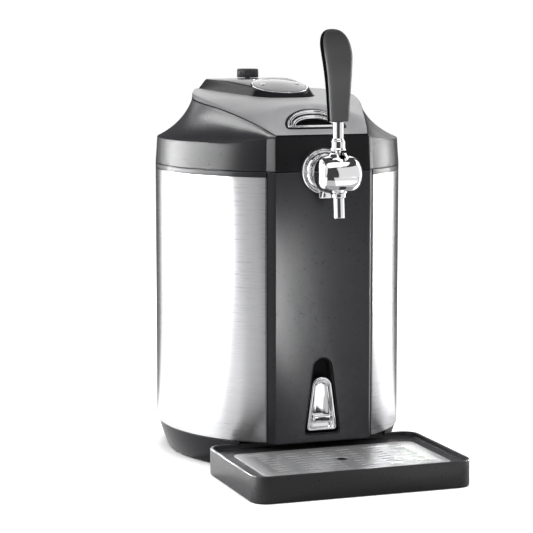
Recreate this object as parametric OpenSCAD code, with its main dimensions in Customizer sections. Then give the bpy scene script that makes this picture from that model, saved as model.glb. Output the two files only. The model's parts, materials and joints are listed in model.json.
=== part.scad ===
// Countertop beer dispenser with a cooled chamber for one party keg.
// The body stands on z = 0, its front looks along -Y, and X = 0 is its plane of symmetry.

/* [Body] */
// Width across the oval body
body_w = 270; // [266:1:274]
// Depth that the oval would have before its front and back are cut flat
body_d = 310; // [306:1:314]
// Height of the joint between body and top housing
seam_z = 325; // [323:1:327]
// Height of the base under the body
base_h = 32; // [31:1:33]
// Wall of the plastic mouldings
wall = 3; // [2.5:0.1:3.2]
// Thickness of the steel side panels
steel_t = 0.8; // [0.6:0.1:0.9]

/* [Flat front and back] */
// Distance from the body's axis to the flat front and back
flat_y = 147.3; // [146:0.1:148]
// Half width of the flat
flat_x = 54.2; // [52:0.1:56]
// Half width where the corner meets the oval
corner_x = 61.1; // [60:0.1:62]

/* [Lid] */
// Radius of the lid's round sides
lid_r = 95; // [94:0.5:96]
// Distance from the axis to the lid's rear edge
lid_back = 125; // [124:0.5:126]
// Height of the lid's front edge
lid_front_z = 361.4; // [360:0.2:362]
// Rise of the lid's seam from front to back
lid_rise = 38; // [36:0.5:40]
// Radius of the display glass
glass_r = 30; // [28:0.5:33]

/* [Tap] */
// Distance from the body's axis to the tap's axis
tap_y = -189; // [-191:0.5:-187]
// Radius of the tap barrel
barrel_r = 20; // [19.5:0.1:20.4]
// Height of the top of the handle
handle_top = 475.7; // [470:0.5:480]

/* [Drip tray] */
// Width of the tray
tray_w = 243.6; // [240:0.2:246]
// Distance from the body's axis to the tray's front edge
tray_front = 275; // [272:0.5:278]
// Distance from the body's axis to the tray's back edge
tray_back = 113.5; // [113:0.5:115]
// Height of the tray
tray_h = 29; // [28.5:0.1:29.5]

/* [Keg] */
// Radius of the party keg
keg_r = 86; // [85:0.5:86.5]
// Height of the party keg
keg_h = 248; // [246:1:250]

/* [Hidden] */

gap = 0.4;                          // clearance between neighbouring pieces
run = 0.05;                         // radial clearance of a running fit
rear_y = flat_y + 1.7;              // rearmost face of the rear cover's rim
body_y = (tray_front - rear_y) / 2; // moves the box's centre to the origin
corner_a = atan(flat_x / flat_y);
corner_y = body_d / 2 * sqrt(1 - pow(corner_x / (body_w / 2), 2));
oval_a = atan(corner_x / corner_y);

// Angles of one quarter of an outline, with the flat's corners exactly on a vertex
quarter = concat([0, corner_a / 2, corner_a], [for (k = [0:11]) oval_a + (90 - oval_a) * k / 12]);
quarter_back = [for (k = [len(quarter) - 1:-1:1]) 180 - quarter[k]];
half_turn = concat(quarter, [90], quarter_back);
loop_a = concat(half_turn, [180], [for (k = [len(half_turn) - 1:-1:1]) 360 - half_turn[k]]);

function clamp01(t) = min(1, max(0, t));
function smooth(t) = let (c = clamp01(t)) c * c * (3 - 2 * c);
function polar(r, a) = [r * sin(a), -r * cos(a)];
function norm_r(a, rx, ry) = 1 / sqrt(pow(sin(a) / rx, 2) + pow(cos(a) / ry, 2));

// Radius of the body's outline at an angle from the front: flat, corner, oval
function body_r(a) = let (s = abs(sin(a)), c = abs(cos(a)), t = atan2(s, c),
    dx = corner_x - flat_x, dy = corner_y - flat_y)
    t <= corner_a + 0.001 ? flat_y / c
    : t < oval_a ? (flat_x * dy - flat_y * dx) / (s * dy - c * dx)
    : norm_r(a, body_w / 2, body_d / 2);

// Lid outline: a round middle with a tongue to the front and a narrower back
tongue = [52.7, 143.3];
lid_corner_x = 55;
function fold(a) = let (b = a > 180 ? 360 - a : a) b;
function tangent_r(a, corner) = let (ca = atan(corner[0] / corner[1]),
    ta = ca + acos(lid_r / norm(corner))) a < ca ? corner[1] / cos(a)
    : a < ta ? lid_r / cos(a - ta) : lid_r;
function seam_r(a) = let (b = fold(a)) b < 90 ? tangent_r(b, tongue)
    : tangent_r(180 - b, [lid_corner_x, lid_back]);
function seam_z_at(y) = lid_front_z + lid_rise * (1 - pow(1 - clamp01((y + 147) / 272), 2.6));

// Crowned top of the lid
function ridge_z(y) = 362.8 + 25 * smooth((y + 140) / 45)
    + 18 * (1 - pow(1 - clamp01((y + 145) / 270), 2.4));
function band_h(y) = min(8 * sin(90 * clamp01((y + 147) / 70)),
    2.2 + 5.8 * sin(90 * clamp01((y + 60) / 150))) - 3 * clamp01(y / 120);
function lid_half_w(y) = y < -28 ? 90.8 - (90.8 - tongue[0]) * (-28 - y) / (tongue[1] - 28)
    : y < 33 ? sqrt(lid_r * lid_r - y * y) : 89.1 - 34.1 * (y - 33) / (lid_back - 33);
function lid_z(x, y) = let (rise = ridge_z(y) - seam_z_at(y) - band_h(y))
    ridge_z(y) - rise * pow(min(1, abs(x) / lid_half_w(y)), 2);

// Display pod outlines: the hull of one front circle and two rear circles, by direction
disc_y = -11;
disc_z = 411;
disc_tilt = 12;
pod_rear = [42, 102];
function pod_pt(a, r0, r1) = let (u = [sin(a), -cos(a)],
    c1 = [(u[0] < 0 ? -1 : 1) * pod_rear[0], pod_rear[1]])
    [0, disc_y] * u + r0 > c1 * u + r1 ? [0, disc_y] + r0 * u : c1 + r1 * u;
function pod_z(y) = 403 + 4 * smooth((y + 49) / 35) + 9 * smooth((y + 40) / 100);
function disc_plane(y) = disc_z + (y - disc_y) * tan(disc_tilt);

// Closed tube of rings: rings[i] is one closed ring of points, and the last joins the first
module ring_tube(rings) {
    n = len(rings);
    m = len(rings[0]);
    pts = [for (r = rings) for (p = r) p];
    faces = [for (i = [0:n - 1]) for (j = [0:m - 1]) for (k = [0:1])
        let (a = i * m + j, b = i * m + (j + 1) % m,
            c = ((i + 1) % n) * m + (j + 1) % m, d = ((i + 1) % n) * m + j)
        k == 0 ? [a, b, c] : [a, c, d]];
    polyhedron(pts, faces);
}

module oval(inset = 0) {
    polygon([for (a = loop_a) polar(norm_r(a, body_w / 2 - inset, body_d / 2 - inset), a)]);
}

// The body's own outline, with its flat front and back
module outline(inset) {
    polygon([for (a = loop_a) polar(body_r(a) - inset, a)]);
}

module up(z) {
    translate([0, 0, z]) children();
}

module block(low, high) {
    translate(low) cube(high - low);
}

// Cylinder along Y from y0 to y1
module rod_y(x, z, y0, y1, r) {
    translate([x, y1, z]) rotate([90, 0, 0]) cylinder(h = y1 - y0, r = r, $fn = 48);
}

module rod_x(y, z, x0, x1, r) {
    translate([x0, y, z]) rotate([0, 90, 0]) cylinder(h = x1 - x0, r = r, $fn = 48);
}

// Straight round rod between two points
module rod(p, q, r) {
    d = q - p;
    translate(p) rotate([0, acos(d[2] / norm(d)), atan2(d[1], d[0])])
        cylinder(h = norm(d), r = r, $fn = 32);
}

module rounded(w, y0, y1, r) {
    for (sx = [-1, 1]) for (y = [y0 + r, y1 - r])
        translate([sx * (w / 2 - r), y]) circle(r = r, $fn = 64);
    translate([-w / 2 + r, y0]) square([w - 2 * r, y1 - y0]);
    translate([-w / 2, y0 + r]) square([w, y1 - y0 - 2 * r]);
}

// ---- base ----
base_taper = 10;
tray_room = tray_back - 1.5;

module base_ring() color([0.10, 0.10, 0.11]) difference() {
    up(2) linear_extrude(base_h - 2 - gap, scale = body_w / (body_w - 2 * base_taper))
        outline(base_taper + 1.5);
    up(1) linear_extrude(base_h) outline(base_taper + 1.5 + wall + 2);
    block([-body_w, -body_d, 0], [body_w, -tray_room, base_h + 1]);
}

module base_plate() color([0.16, 0.16, 0.17]) difference() {
    up(5) linear_extrude(3) outline(base_taper + wall + 4);
    block([-body_w, -body_d, 0], [body_w, -tray_room + 1, base_h]);
    for (x = [-40:10:40]) block([x - 2, 40, 4], [x + 2, 100, 9]);
}

foot_x = 72;
foot_ys = [-74, 86];

module rubber_feet() color([0.07, 0.07, 0.07])
    for (x = [-foot_x, foot_x]) for (y = foot_ys)
        translate([x, y, 0]) cylinder(h = 5, r = 9, $fn = 48);

// ---- body ----
steel_z0 = base_h + 1;
steel_z1 = seam_z - 6;

module body_frame() color([0.12, 0.12, 0.13]) difference() {
    union() {
        up(base_h) linear_extrude(seam_z - base_h) oval(steel_t + 0.3);
        up(steel_z1 + 0.2) linear_extrude(seam_z - steel_z1 - 0.2) oval();
    }
    up(base_h - 1) linear_extrude(seam_z) oval(steel_t + 0.3 + wall);
    for (s = [-1, 1]) scale([1, s, 1])
        block([-corner_x - 0.3, -body_d, base_h - 1], [corner_x + 0.3, -corner_y + 6, seam_z + 1]);
}

// Curved sheet from the front corner round to the back corner
module steel_panel(side) color([0.78, 0.78, 0.79]) {
    arc = [for (a = loop_a) if (a > oval_a - 0.1 && a < 180.1 - oval_a) a];
    outer = [for (a = arc) polar(norm_r(a, body_w / 2, body_d / 2), a)];
    inner = [for (k = [len(arc) - 1:-1:0])
        polar(norm_r(arc[k], body_w / 2 - steel_t, body_d / 2 - steel_t), arc[k])];
    mirror([side < 0 ? 1 : 0, 0, 0]) translate([0, 0, steel_z0])
        linear_extrude(steel_z1 - steel_z0) polygon(concat(outer, inner));
}

module steel_panel_left() steel_panel(-1);
module steel_panel_right() steel_panel(1);

// Shallow U-shaped outline of the cover over the flat front or back
module flat_cover() {
    side = corner_x - 0.8;
    y1 = corner_y - 4.5;
    polygon([[-side, -y1], [-side, -corner_y + 0.4], [-flat_x, -flat_y], [flat_x, -flat_y],
        [side, -corner_y + 0.4], [side, -y1], [side - wall, -y1],
        [side - wall, -corner_y + 2], [flat_x - 2, -flat_y + wall], [-flat_x + 2, -flat_y + wall],
        [-side + wall, -corner_y + 2], [-side + wall, -y1]]);
}

// Tapered outline of the recess and of the lever in it: round top, rounded lower corners
module taper(top_z, top_r, low_z, low_x, low_r) {
    hull() {
        translate([0, top_z - top_r]) circle(r = top_r, $fn = 32);
        for (s = [-1, 1]) translate([s * (low_x - low_r), low_z + low_r])
            circle(r = low_r, $fn = 24);
    }
}

module upright(y0, y1) {
    translate([0, y1, 0]) rotate([90, 0, 0]) linear_extrude(y1 - y0) children();
}

recess = [124, 11.5, 39.5, 20.5, 5];
shank_r = 9;

module front_panel() color([0.13, 0.13, 0.14]) difference() {
    up(base_h) linear_extrude(seam_z - base_h - 0.3) flat_cover();
    upright(-flat_y - 1, -flat_y + 10)
        taper(recess[0], recess[1], recess[2], recess[3], recess[4]);
    rod_y(0, seam_z, -flat_y - 1, -flat_y + 10, shank_r + 0.3);
}

vent_z = [118:9:226];

module rear_cover() color([0.13, 0.13, 0.14]) difference() {
    union() {
        mirror([0, 1, 0]) up(base_h) linear_extrude(seam_z - base_h - 0.3) flat_cover();
        block([-50, flat_y - 0.5, base_h + 6], [50, rear_y, base_h + 12]);
        block([-50, flat_y - 0.5, 240], [50, rear_y, 246]);
    }
    for (z = vent_z) block([-42, flat_y - 10, z], [42, rear_y + 1, z + 5]);
    block([16, flat_y - 10, 50], [42, rear_y + 1, 74]);
    block([-40, flat_y - 10, 52], [-18, rear_y + 1, 72]);
}

// ---- release lever ----
pocket_y0 = -flat_y + 0.6;
pocket_y1 = -flat_y + 17;
lever_y0 = -flat_y + 0.9;
lever_y1 = lever_y0 + 10;
lever_axis = [lever_y1 - 4, 48.5];
lever_pin_r = 1.5;

module lever_pocket() color([0.06, 0.06, 0.07]) difference() {
    upright(pocket_y0, pocket_y1) taper(recess[0] - 0.4, recess[1] - 0.4,
        recess[2] + 0.4, recess[3] - 0.4, recess[4]);
    upright(pocket_y0 - 1, pocket_y1 - 2) taper(recess[0] - 1.6, recess[1] - 1.6,
        recess[2] + 1.4, recess[3] - 1.4, recess[4] - 1);
    rod_x(lever_axis[0], lever_axis[1], -30, 30, lever_pin_r);
}

module release_lever() color([0.85, 0.85, 0.86]) difference() {
    upright(lever_y0, lever_y1) taper(102.5, 11.8, 43.5, 17.4, 4);
    // dished face between the raised rims, with the thumb pad left standing in it
    difference() {
        upright(lever_y0 - 1, lever_y0 + 5) taper(98.5, 8.2, 46.5, 12.5, 3);
        upright(lever_y0, lever_y0 + 6) translate([-14, 51]) square([28, 9.5]);
    }
    rod_x(lever_axis[0], lever_axis[1], -30, 30, lever_pin_r + run);
    block([-6, lever_y1 - 3, 60], [6, lever_y1 + 1, 90]);
}

module lever_pin() color([0.7, 0.7, 0.7])
    rod_x(lever_axis[0], lever_axis[1], -17, 17, lever_pin_r);

module lever_spring() color([0.6, 0.6, 0.62])
    rod_y(0, 75, lever_y1 - 2.6, pocket_y1 - 2.3, 4);

// ---- drip tray ----
lip_t = 3;
ledge_z = 23.4;
plate_t = 1.5;
plate_x = 104;
plate_y = [-259, -flat_y - 1];

module drip_tray() color([0.14, 0.14, 0.15]) difference() {
    linear_extrude(tray_h) rounded(tray_w, -tray_front, -tray_back, 18);
    // channel round the grille
    up(ledge_z) linear_extrude(tray_h)
        rounded(tray_w - 2 * lip_t, -tray_front + lip_t, -tray_back - lip_t, 15);
    // well that catches the drips
    up(3) linear_extrude(tray_h)
        rounded(2 * plate_x - 8, plate_y[0] + 4, plate_y[1] - 4, 10);
}

slot_rows = 9;
slot_cols = 6;
slot_l = 15;
slot_w = 2.2;
hole_y = -205;
hole_r = 6.8;

// Slot along X with round ends
module slot(x0, x1, y) {
    translate([x0 + slot_w / 2, y - slot_w / 2]) square([x1 - x0 - slot_w, slot_w]);
    for (x = [x0 + slot_w / 2, x1 - slot_w / 2]) translate([x, y]) circle(r = slot_w / 2, $fn = 16);
}

module drip_grille() color([0.72, 0.72, 0.73]) up(ledge_z + 0.2) linear_extrude(plate_t)
    difference() {
        rounded(2 * plate_x, plate_y[0], plate_y[1], 9);
        translate([0, hole_y]) circle(r = hole_r, $fn = 48);
        for (i = [0:slot_cols - 1]) for (j = [0:slot_rows - 1])
            let (x = (i - (slot_cols - 1) / 2) * 31, y = -167 - 10.5 * j,
                near = abs(x) < 20 && abs(y - hole_y) < 12, cut = near ? 5 : 0, s = x < 0 ? 1 : -1)
            slot(x - slot_l / 2 - (s < 0 ? -cut : 0), x + slot_l / 2 - (s > 0 ? cut : 0), y);
    }

// ---- cold chamber and keg ----
liner_r = 88.6;
liner_t = 1.4;
foam_r = 122;
cooler_y = 98;
keg_z0 = 48;
keg_z1 = keg_z0 + keg_h;
neck_z1 = 352;

module insulation_foam() color([0.93, 0.90, 0.78]) difference() {
    up(38) cylinder(h = 280 - gap, r = foam_r, $fn = 96);
    up(43) cylinder(h = 300, r = liner_r + liner_t + gap, $fn = 96);
    block([-60, cooler_y - 3, 30], [60, 140, 320]);
    block([-60, 80, 118], [60, 140, 222]);
}

module cooling_liner() color([0.80, 0.81, 0.83]) rotate_extrude($fn = 96)
    polygon([[0, 44], [liner_r + liner_t, 44], [liner_r + liner_t, 318], [98, 318], [98, 320],
        [liner_r, 320], [liner_r, 46], [0, 46]]);

module chamber_neck() color([0.85, 0.85, 0.84]) difference() {
    up(320.2) cylinder(h = neck_z1 - 320.2, r = 97, $fn = 96);
    up(319) cylinder(h = 40, r = 92, $fn = 96);
    rod_y(0, seam_z, -110, -80, 6);
}

module lid_gasket() color([0.2, 0.2, 0.2]) up(neck_z1) difference() {
    cylinder(h = 2, r = 96.5, $fn = 96);
    up(-1) cylinder(h = 4, r = 92.5, $fn = 96);
}

module keg_shell() color([0.75, 0.76, 0.78]) rotate_extrude($fn = 96) {
    t = 1;
    polygon([[0, keg_z0 + 5], [keg_r - 8, keg_z0 + 5], [keg_r - 2.5, keg_z0], [keg_r, keg_z0],
        [keg_r, keg_z1], [keg_r - 2.5, keg_z1], [keg_r - 8, keg_z1 - 6], [30, keg_z1 - 4],
        [13.2, keg_z1 - 4], [13.2, keg_z1 - 4 - t], [30, keg_z1 - 4 - t],
        [keg_r - 8, keg_z1 - 6 - t], [keg_r - t, keg_z1 - 10], [keg_r - t, keg_z0 + 8],
        [keg_r - 8, keg_z0 + 5 + t], [0, keg_z0 + 5 + t]]);
}

module keg_bung() color([0.3, 0.3, 0.32]) difference() {
    up(keg_z1 - 10) cylinder(h = 10, r = 13, $fn = 48);
    up(keg_z1 - 11) cylinder(h = 12, r = 5.1, $fn = 32);
}

module spear_tube() color([0.7, 0.7, 0.72]) difference() {
    up(keg_z0 + 14) cylinder(h = keg_h - 12, r = 5, $fn = 32);
    up(keg_z0 + 13) cylinder(h = keg_h, r = 3.5, $fn = 32);
}

head_r = 20;

module tapping_head() color([0.15, 0.15, 0.16]) difference() {
    union() {
        up(keg_z1 + 0.4) cylinder(h = 6, r = 26, $fn = 64);
        up(keg_z1 + 6) cylinder(h = 36, r = head_r, $fn = 64);
        rod_y(0, seam_z, -head_r - 8, 0, 7);
    }
    up(keg_z1) cylinder(h = 30, r = 5.4, $fn = 32);
    rod_y(0, seam_z, -head_r - 9, 0, 3.5);
}

module beer_hose() color([0.85, 0.86, 0.84]) difference() {
    rod_y(0, seam_z, -123.8, -head_r - 8.2, 5);
    rod_y(0, seam_z, -124, -head_r, 3.5);
}

gas_y = 42;
gas_z = keg_z1 + 16;

module co2_cartridge() color([0.55, 0.57, 0.6]) translate([0, gas_y, gas_z]) rotate([0, 90, 0])
    rotate_extrude($fn = 48) polygon([[0, -48], [8, -46], [11, -40], [11, 24], [9, 31],
        [4.5, 36], [4, 42], [0, 42]]);

module co2_regulator() color([0.62, 0.55, 0.35]) difference() {
    block([40, gas_y - 13, gas_z - 12], [66, gas_y + 13, gas_z + 12]);
    rod_x(gas_y, gas_z, 39, 45, 4.6);
}

module co2_hose() color([0.3, 0.3, 0.32])
    rod([52, gas_y - 16.4, gas_z + 4], [18.5, 12.5, gas_z + 10], 3);

// ---- cooler behind the chamber ----
cooler_z = 170;

module cold_block() color([0.72, 0.73, 0.75]) difference() {
    block([-32, 78, cooler_z - 32], [32, cooler_y, cooler_z + 32]);
    up(cooler_z - 40) cylinder(h = 80, r = liner_r + liner_t + 0.2, $fn = 96);
}

module peltier_module() color([0.9, 0.9, 0.88])
    block([-20, cooler_y + 0.1, cooler_z - 20], [20, cooler_y + 3.9, cooler_z + 20]);

sink_y = cooler_y + 4;

module heatsink() color([0.6, 0.61, 0.63]) {
    block([-44, sink_y, cooler_z - 44], [44, sink_y + 5, cooler_z + 44]);
    for (x = [-43:6.6:43]) block([x, sink_y + 5, cooler_z - 44], [x + 1.6, sink_y + 24, cooler_z + 44]);
}

fan_y = sink_y + 25;

module fan_frame() color([0.1, 0.1, 0.1]) difference() {
    block([-45, fan_y, cooler_z - 45], [45, fan_y + 14, cooler_z + 45]);
    rod_y(0, cooler_z, fan_y + 2, fan_y + 15, 42);
    difference() {
        rod_y(0, cooler_z, fan_y - 1, fan_y + 3, 42);
        rod_y(0, cooler_z, fan_y - 1, fan_y + 3, 13);
        for (a = [0:120:240]) translate([0, fan_y, cooler_z]) rotate([0, a, 0])
            block([-2.5, -1, 0], [2.5, 3, 43]);
    }
    rod_y(0, cooler_z, fan_y + 1, fan_y + 3, 2 + run);
}

module fan_rotor() color([0.12, 0.12, 0.12]) translate([0, fan_y + 3, cooler_z]) {
    rotate([-90, 0, 0]) cylinder(h = 9, r = 14, $fn = 48);
    translate([0, -1.9, 0]) rotate([-90, 0, 0]) cylinder(h = 3, r = 2, $fn = 32);
    for (k = [0:6]) rotate([0, k * 360 / 7, 0]) translate([0, 4.5, 13]) rotate([0, 0, 35])
        block([-6, -0.7, 0], [6, 0.7, 27]);
}

module control_board() color([0.1, 0.35, 0.2]) {
    block([-50, 122, 84], [50, 123.6, 112]);
    block([-40, 123.6, 90], [-20, 135, 106]);
    for (x = [-5, 12, 30]) translate([x, 123.6, 98]) rotate([-90, 0, 0])
        cylinder(h = 12, r = 5, $fn = 32);
}

inlet = [29, 62];

module power_inlet() color([0.05, 0.05, 0.05]) difference() {
    block([16.3, flat_y - 22, 50.3], [41.7, rear_y - 0.3, 73.7]);
    translate([inlet[0], rear_y, inlet[1]]) rotate([90, 0, 0]) linear_extrude(18)
        square([19, 13], center = true);
}

rocker = [-29, flat_y - 2.5, 62];
rocker_tilt = 8;

// Rocker, drawn tipped to its "off" side
module power_switch() color([0.08, 0.08, 0.08]) translate(rocker) rotate([-rocker_tilt, 0, 0])
    intersection() {
        rod_x(0, 0, -9, 9, 9);
        block([-9, -6, -8.6], [9, 3.2, 8.6]);
    }

// ---- top housing ----
collar_in = 2;
function collar_z(y) = 354 + 7 * pow(clamp01((-104 - y) / 38), 1.4);
function collar_r(a) = body_r(a) - collar_in;
function edge_z(a) = collar_z(-collar_r(a) * cos(a));
function seam_pt_z(a) = seam_z_at(-seam_r(a) * cos(a));
function quad(p, q, r, t) = (1 - t) * (1 - t) * p + 2 * t * (1 - t) * q + t * t * r;
function shoulder(a, t) = let (r0 = collar_r(a), r1 = seam_r(a), z0 = edge_z(a), z1 = seam_pt_z(a))
    [quad(r0, r0 - 0.753 * (r0 - r1), r1, t), quad(z0, z0 + 0.344 * (z1 - z0), z1, t)];

// One closed section of the housing's shell at an angle from the front
function housing_section(a) = concat(
    [[body_r(a), seam_z + 0.4], [collar_r(a), edge_z(a)]],
    [for (t = [0.17:0.166:0.84]) shoulder(a, t)],
    [[seam_r(a), seam_pt_z(a)], [seam_r(a) - 2.6, seam_pt_z(a)]],
    [for (t = [0.8, 0.5, 0.2]) shoulder(a, t) - [wall, wall]],
    [[body_r(a) - wall - 1, edge_z(a) - 6], [body_r(a) - wall - 1, seam_z + 0.4]]);

module top_housing() color([0.12, 0.12, 0.13]) difference() {
    ring_tube([for (a = loop_a) [for (p = housing_section(a))
        [p[0] * sin(a), -p[0] * cos(a), p[1]]]]);
    rod_y(0, seam_z, -flat_y - 5, -flat_y + 12, shank_r + 0.3);
}

// ---- lid hinge ----
hinge = [133, 392.5];
knuckle_r = 4.5;
hinge_pin_r = 1.5;

module hinge_bracket() color([0.3, 0.3, 0.32]) for (s = [-1, 1]) difference() {
    union() {
        rod_x(hinge[0], hinge[1], s > 0 ? 22 : -42, s > 0 ? 42 : -22, knuckle_r);
        block([s > 0 ? 22 : -42, hinge[0] - knuckle_r, 371.5],
            [s > 0 ? 42 : -22, hinge[0] + knuckle_r, hinge[1]]);
    }
    rod_x(hinge[0], hinge[1], -50, 50, hinge_pin_r);
}

module hinge_pin() color([0.7, 0.7, 0.7]) rod_x(hinge[0], hinge[1], -42, 42, hinge_pin_r);

module lid_hinge_arm() color([0.3, 0.3, 0.32]) difference() {
    union() {
        rod_x(hinge[0], hinge[1], -21.5, 21.5, knuckle_r);
        translate([-21.5, 0, 0]) rotate([90, 0, 90]) linear_extrude(43)
            polygon([[hinge[0] - 1, hinge[1] + 4], [hinge[0] + knuckle_r, hinge[1]],
                [hinge[0] + 4.4, 399], [126, 404], [121.5, 402.2], [121.5, 400.2],
                [127, 400.2], [128.7, 394]]);
    }
    rod_x(hinge[0], hinge[1], -50, 50, hinge_pin_r + run);
}

// ---- lid ----
lid_gap = 0.6;
edge_from = 0.93;
foot_front_r = 40;
foot_rear_r = 17;
top_front_r = 34.2;
top_rear_r = 8;

// Height factor of the rounded edge, 1 on the top and 0 at the seam
function edge_drop(s) = s < edge_from ? 1
    : sqrt(max(0, 1 - pow((s - edge_from) / (1 - edge_from), 2)));

// Point of the lid's top between the pod's foot (s = 0) and the seam (s = 1)
function lid_plan(a, s) = let (f = pod_pt(a, foot_front_r, foot_rear_r), e = polar(seam_r(a), a))
    f + s * (e - f);
function lid_pt(a, s, down = 0) = let (p = lid_plan(a, s), low = seam_pt_z(a) + lid_gap,
    z = low + (lid_z(p[0], p[1]) - low) * edge_drop(s)) [p[0], p[1], max(z - down, low)];

module lid_cover() color([0.35, 0.35, 0.36]) difference() {
    ring_tube([for (a = loop_a) concat(
        [for (s = [0, 0.3, 0.6, 0.85, 0.95, 0.985, 1]) lid_pt(a, s)],
        [for (s = [0.97, 0.85, 0.6, 0.3, 0]) lid_pt(a, s, wall)])]);
    latch_space() up(-12) linear_extrude(24) arch(-0.3, latch_low_v - 0.3);
}

module lid_liner() color([0.86, 0.86, 0.85]) {
    up(356) linear_extrude(2.5) polygon([for (a = loop_a) polar(seam_r(a) * 0.93 - 2, a)]);
    up(358.5) linear_extrude(22) difference() {
        circle(r = 82, $fn = 64);
        circle(r = 80, $fn = 64);
    }
}

function pod_side(a, s, lift) = let (f = pod_pt(a, foot_front_r - gap, foot_rear_r - gap),
    t = pod_pt(a, top_front_r, top_rear_r), p = f + s * (t - f),
    z0 = lid_z(f[0], f[1]), z1 = pod_z(t[1])) [p[0], p[1], z0 + s * (z1 - z0) + lift];
function pod_top(a, s, lift) = let (t = pod_pt(a, top_front_r, top_rear_r),
    b = [0, disc_y] + (glass_r + 2.6) * [sin(a), -cos(a)], p = t + s * (b - t),
    z0 = pod_z(t[1]), z1 = disc_plane(b[1]) - 1)
    [p[0], p[1], z0 + (z1 - z0) * s + 1.2 * sin(180 * s) + lift];

module display_pod() color([0.10, 0.10, 0.11]) difference() {
    ring_tube([for (a = loop_a) concat(
        [pod_side(a, 0, -wall)], [for (s = [0, 0.5, 1]) pod_side(a, s, 0)],
        [for (s = [0.15, 0.5, 1]) pod_top(a, s, 0)],
        [for (s = [1, 0.5]) pod_top(a, s, -2.4)], [pod_side(a, 0.8, -2.4)])]);
    translate([0, knob_y, 400]) cylinder(h = 30, r = 4, $fn = 32);
}

// Everything on the display's tilted plane
module on_disc() {
    translate([0, disc_y, disc_z]) rotate([disc_tilt, 0, 0]) children();
}

button_x = 20;
button_r = 3.2;

module display_bezel() color([0.82, 0.82, 0.83]) on_disc() rotate_extrude($fn = 96)
    polygon([[glass_r + 0.2, -2.6], [glass_r + 2, -2.6], [glass_r + 2.2, 0.3],
        [glass_r + 1.2, 1], [glass_r + 0.2, 0.6]]);

dome_r = 150;
dome_drop = dome_r - sqrt(dome_r * dome_r - glass_r * glass_r);

module display_glass() color([0.05, 0.05, 0.06]) on_disc() difference() {
    intersection() {
        up(-2) cylinder(h = 10, r = glass_r, $fn = 96);
        up(0.6 + dome_drop - dome_r) sphere(r = dome_r, $fn = 192);
    }
    for (s = [-1, 1]) translate([s * button_x, 0, -3]) cylinder(h = 12, r = button_r + 0.2, $fn = 48);
}

module display_board() color([0.1, 0.35, 0.2]) on_disc() {
    up(-6) cylinder(h = 1.6, r = 27.5, $fn = 64);
    up(-4.4) block([-12, -7, 0], [12, 7, 2]);
}

module button(side) color([0.75, 0.75, 0.76]) on_disc() translate([side * button_x, 0, -2.6])
    cylinder(h = 5.6, r = button_r, $fn = 48);

module button_left() button(-1);
module button_right() button(1);

knob_y = 99;
knob_z = 417.4;
knob_r = 12.6;
knob_h = 10.2;
knob_ribs = 36;

module rotary_control() color([0.25, 0.25, 0.27]) translate([0, knob_y, 0]) difference() {
    union() {
        up(396) cylinder(h = 12, r = 8.5, $fn = 48);
        up(408) cylinder(h = 4, r = 5, $fn = 48);
    }
    up(404) cylinder(h = 9, r = 3 + run, $fn = 32);
}

module top_knob() color([0.22, 0.22, 0.23]) translate([0, knob_y, 0]) {
    up(404.3) cylinder(h = 16, r = 3, $fn = 32);
    up(knob_z) difference() {
        cylinder(h = knob_h, r = knob_r, $fn = 144);
        for (k = [1:knob_ribs]) rotate([0, 0, k * 360 / knob_ribs]) translate([knob_r + 0.3, 0, -1])
            cylinder(h = knob_h + 2, r = 0.7, $fn = 12);
    }
}

// ---- lid latch ----
latch_rx = 34.5;
latch_ry = 29.3;
latch_low_v = -1.5;
latch_slope = 43.6;
latch_low = [-127.5, 369.6];
latch_pivot = 19;
rim_in = 7.3;
latch_play = 1.2;

// Frame on the lid's front slope: x across, y up the slope, z out of it
module latch_space() {
    translate([0, latch_low[0], latch_low[1]]) rotate([latch_slope, 0, 0]) children();
}

// Flat-bottomed arch with rounded lower corners, drawn this far inside the opening's edge
module arch(inset, low) {
    rx = latch_rx - inset;
    c = max(1, 4 - inset);
    polygon(concat(
        [for (t = [0:6:180]) [rx * cos(t), low + c + (latch_ry - inset - low - c) * sin(t)]],
        [for (t = [210:30:270]) [c - rx + c * cos(t), low + c + c * sin(t)]],
        [for (t = [270:30:330]) [rx - c + c * cos(t), low + c + c * sin(t)]]));
}

module latch_cup() color([0.03, 0.03, 0.03]) latch_space() difference() {
    up(-11) linear_extrude(9.5) arch(0, latch_low_v);
    up(-9.5) linear_extrude(12) arch(1.5, latch_low_v + 1.5);
}

module latch_frame() color([0.85, 0.85, 0.86]) latch_space() up(-1.3) linear_extrude(2.8)
    difference() {
        arch(1.8, latch_low_v + 2);
        arch(rim_in, 4.4);
    }

module latch_paddle() color([0.85, 0.85, 0.86]) latch_space() difference() {
    union() {
        up(-3.5) linear_extrude(3) arch(rim_in + latch_play, 5);
        rod_x(latch_pivot, -2.2, -9, 9, 1.5);
    }
    up(-9) linear_extrude(12) arch(12.8, 3);
}

// ---- tap ----
tap_z = seam_z;
flange_y = -flat_y - gap;
shank_end = -124;

// Turns a profile of [radius, distance] about the Y axis, outward from the front
module turn_y(profile) {
    translate([0, 0, tap_z]) rotate([90, 0, 0]) rotate_extrude($fn = 96) polygon(profile);
}

module tap_flange() color([0.88, 0.88, 0.89]) difference() {
    union() {
        turn_y([[0, -flange_y], [24.6, -flange_y], [24.6, -flange_y + 1.6], [23.4, -flange_y + 2.8],
            [21, -flange_y + 3], [20.6, -flange_y + 5], [19.4, -flange_y + 6], [16.6, -flange_y + 6.2],
            [15.8, -flange_y + 9], [13.5, -flange_y + 10.4], [0, -flange_y + 10.4]]);
        block([-7.5, flange_y - 8, tap_z - 28.4], [7.5, flange_y, tap_z - 22]);
        rod_y(0, tap_z, flange_y - 1, shank_end, shank_r);
    }
    rod_y(0, tap_z, -180, -100, 4);
}

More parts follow.
